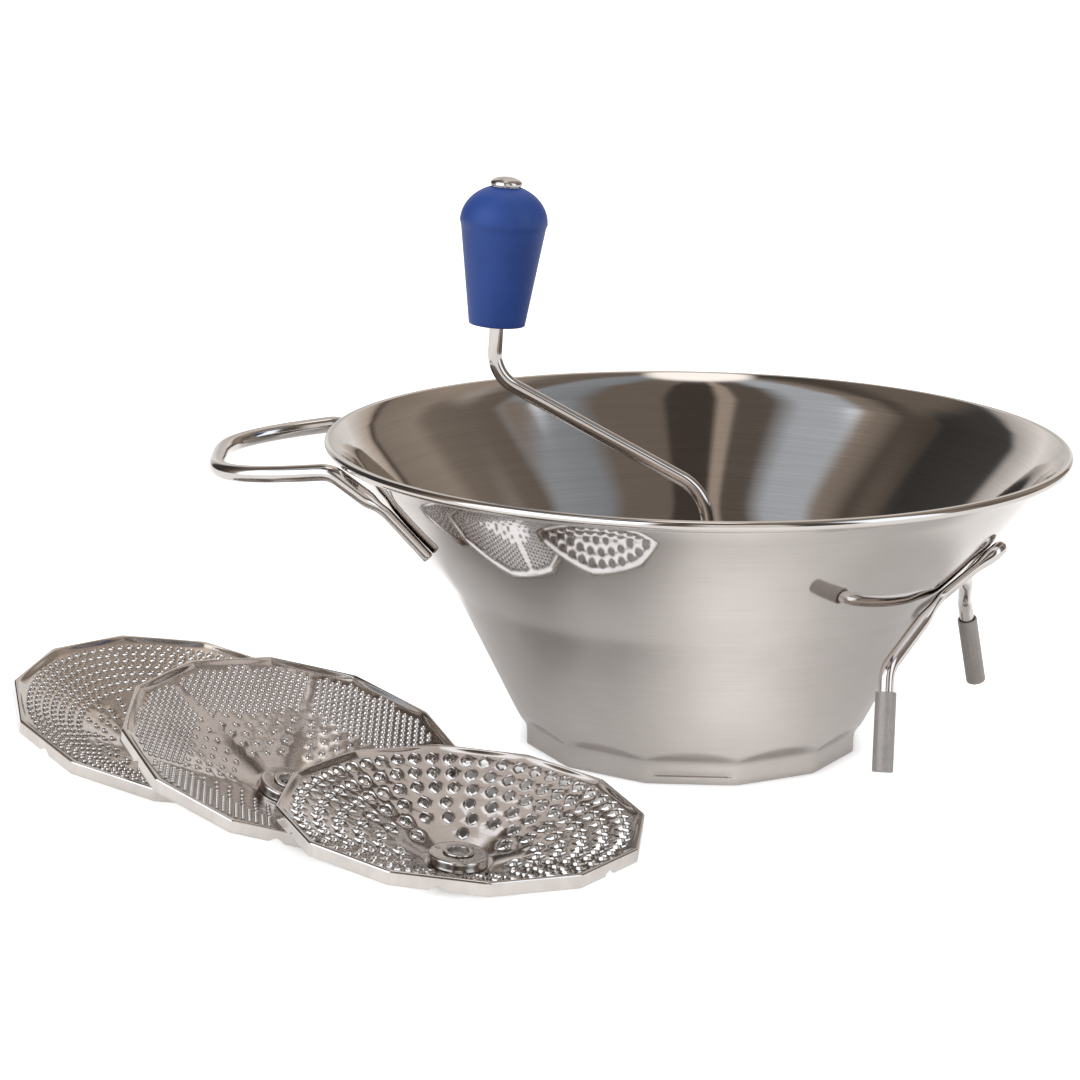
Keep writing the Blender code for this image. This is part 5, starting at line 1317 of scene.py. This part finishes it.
FRONT = [(-180, 0.90, "card"), (-172, 0.14, "room"), (-164, 0.14, "room"), (-158, 2.4, "sky"), (-104, 2.4, "sky"),
         (-96, 0.40, "room"), (104, 0.25, "room"), (108, 1.7, "sky"), (132, 1.7, "sky"), (138, 0.10, "room"),
         (152, 0.10, "room"), (158, 0.90, "card")]
TINTS = {"room": (1.12, 0.95, 0.80), "card": (1.03, 1.0, 0.97), "sky": (0.93, 1.02, 1.12)}
CEILING, BELOW, MATT_LIGHT = (1.7, 1.66, 1.62), (0.80, 0.79, 0.78), 0.72


def ring_of(panels):
    """A ring of panels as a colour ramp over the compass angle; each is a grey times the tint of what it shows."""
    stops = [((angle + 180) / 360, tuple(value * tint for tint in TINTS[kind]) + (1.0,))
             for angle, value, kind in panels]
    return compass.make("ShaderNodeValToRGB", {"stops": stops}, {0: compass / 360 + 0.5})


low = rise.ramp(0.0, -0.05)
high = rise.ramp(0.62, 0.76) * north.ramp(0.10, 0.26)
front = rise.ramp(0.79, 0.73) * north.ramp(0.0, -0.08)
ceiling = rise.ramp(0.986, 0.994)
panels = high.between(front.between(ring_of(PANELS), ring_of(FRONT)), ring_of(HIGH))
panels = low.between(ceiling.between(panels, CEILING), BELOW)
colour = mirror.between((1, 1, 1), panels)
strength = camera_ray + mirror + through + (1 - camera_ray) * (1 - mirror) * (1 - through) * MATT_LIGHT
feed(tree, back, Color=colour, Strength=strength)
print("panels:", len(PANELS), "round,", len(HIGH), "high,", len(FRONT), "in front")

# %% Lamps and camera
LAMP_AIM, LAMP_POWER = (0, 0, 0.05), 14
PITCH, YAW, ROLL = radians(13.598), radians(1.968), radians(0.795)
CAMERA_PLACE, LENS, SENSOR_WIDTH = (-0.10669, -1.21549, 0.3790), 99.38, 36.0


def soft_lamp(name, place, aim, size, power):
    """A square area lamp that mirrors don't see."""
    data = bpy.data.lights.new(name, "AREA")
    data.shape, data.size, data.energy = "SQUARE", size, power
    lamp = bpy.data.objects.new(name, data)
    lamp.location = place
    lamp.visible_glossy = False
    lamp.rotation_euler = (Vector(aim) - Vector(place)).to_track_quat("-Z", "Y").to_euler()
    bpy.context.scene.collection.objects.link(lamp)
    return lamp


soft_lamp("key_lamp", (-1.5, -1.6, 2.4), LAMP_AIM, 1.6, LAMP_POWER)
soft_lamp("top_lamp", (0.6, 0.8, 2.8), LAMP_AIM, 2.0, LAMP_POWER)

ahead = Vector((sin(YAW) * cos(PITCH), cos(YAW) * cos(PITCH), -sin(PITCH)))
right = Vector((cos(YAW), -sin(YAW), 0.0))
up = right.cross(ahead)
rolled_right = cos(ROLL) * right + sin(ROLL) * up
rolled_up = cos(ROLL) * up - sin(ROLL) * right
data = bpy.data.cameras.new("photo_camera")
data.lens, data.sensor_width = LENS, SENSOR_WIDTH
camera = bpy.data.objects.new("photo_camera", data)
turn = Matrix((rolled_right, rolled_up, -ahead)).transposed().to_4x4()
camera.matrix_world = Matrix.Translation(CAMERA_PLACE) @ turn
bpy.context.scene.collection.objects.link(camera)
bpy.context.scene.camera = camera
bpy.context.scene.view_settings.view_transform = "Standard"
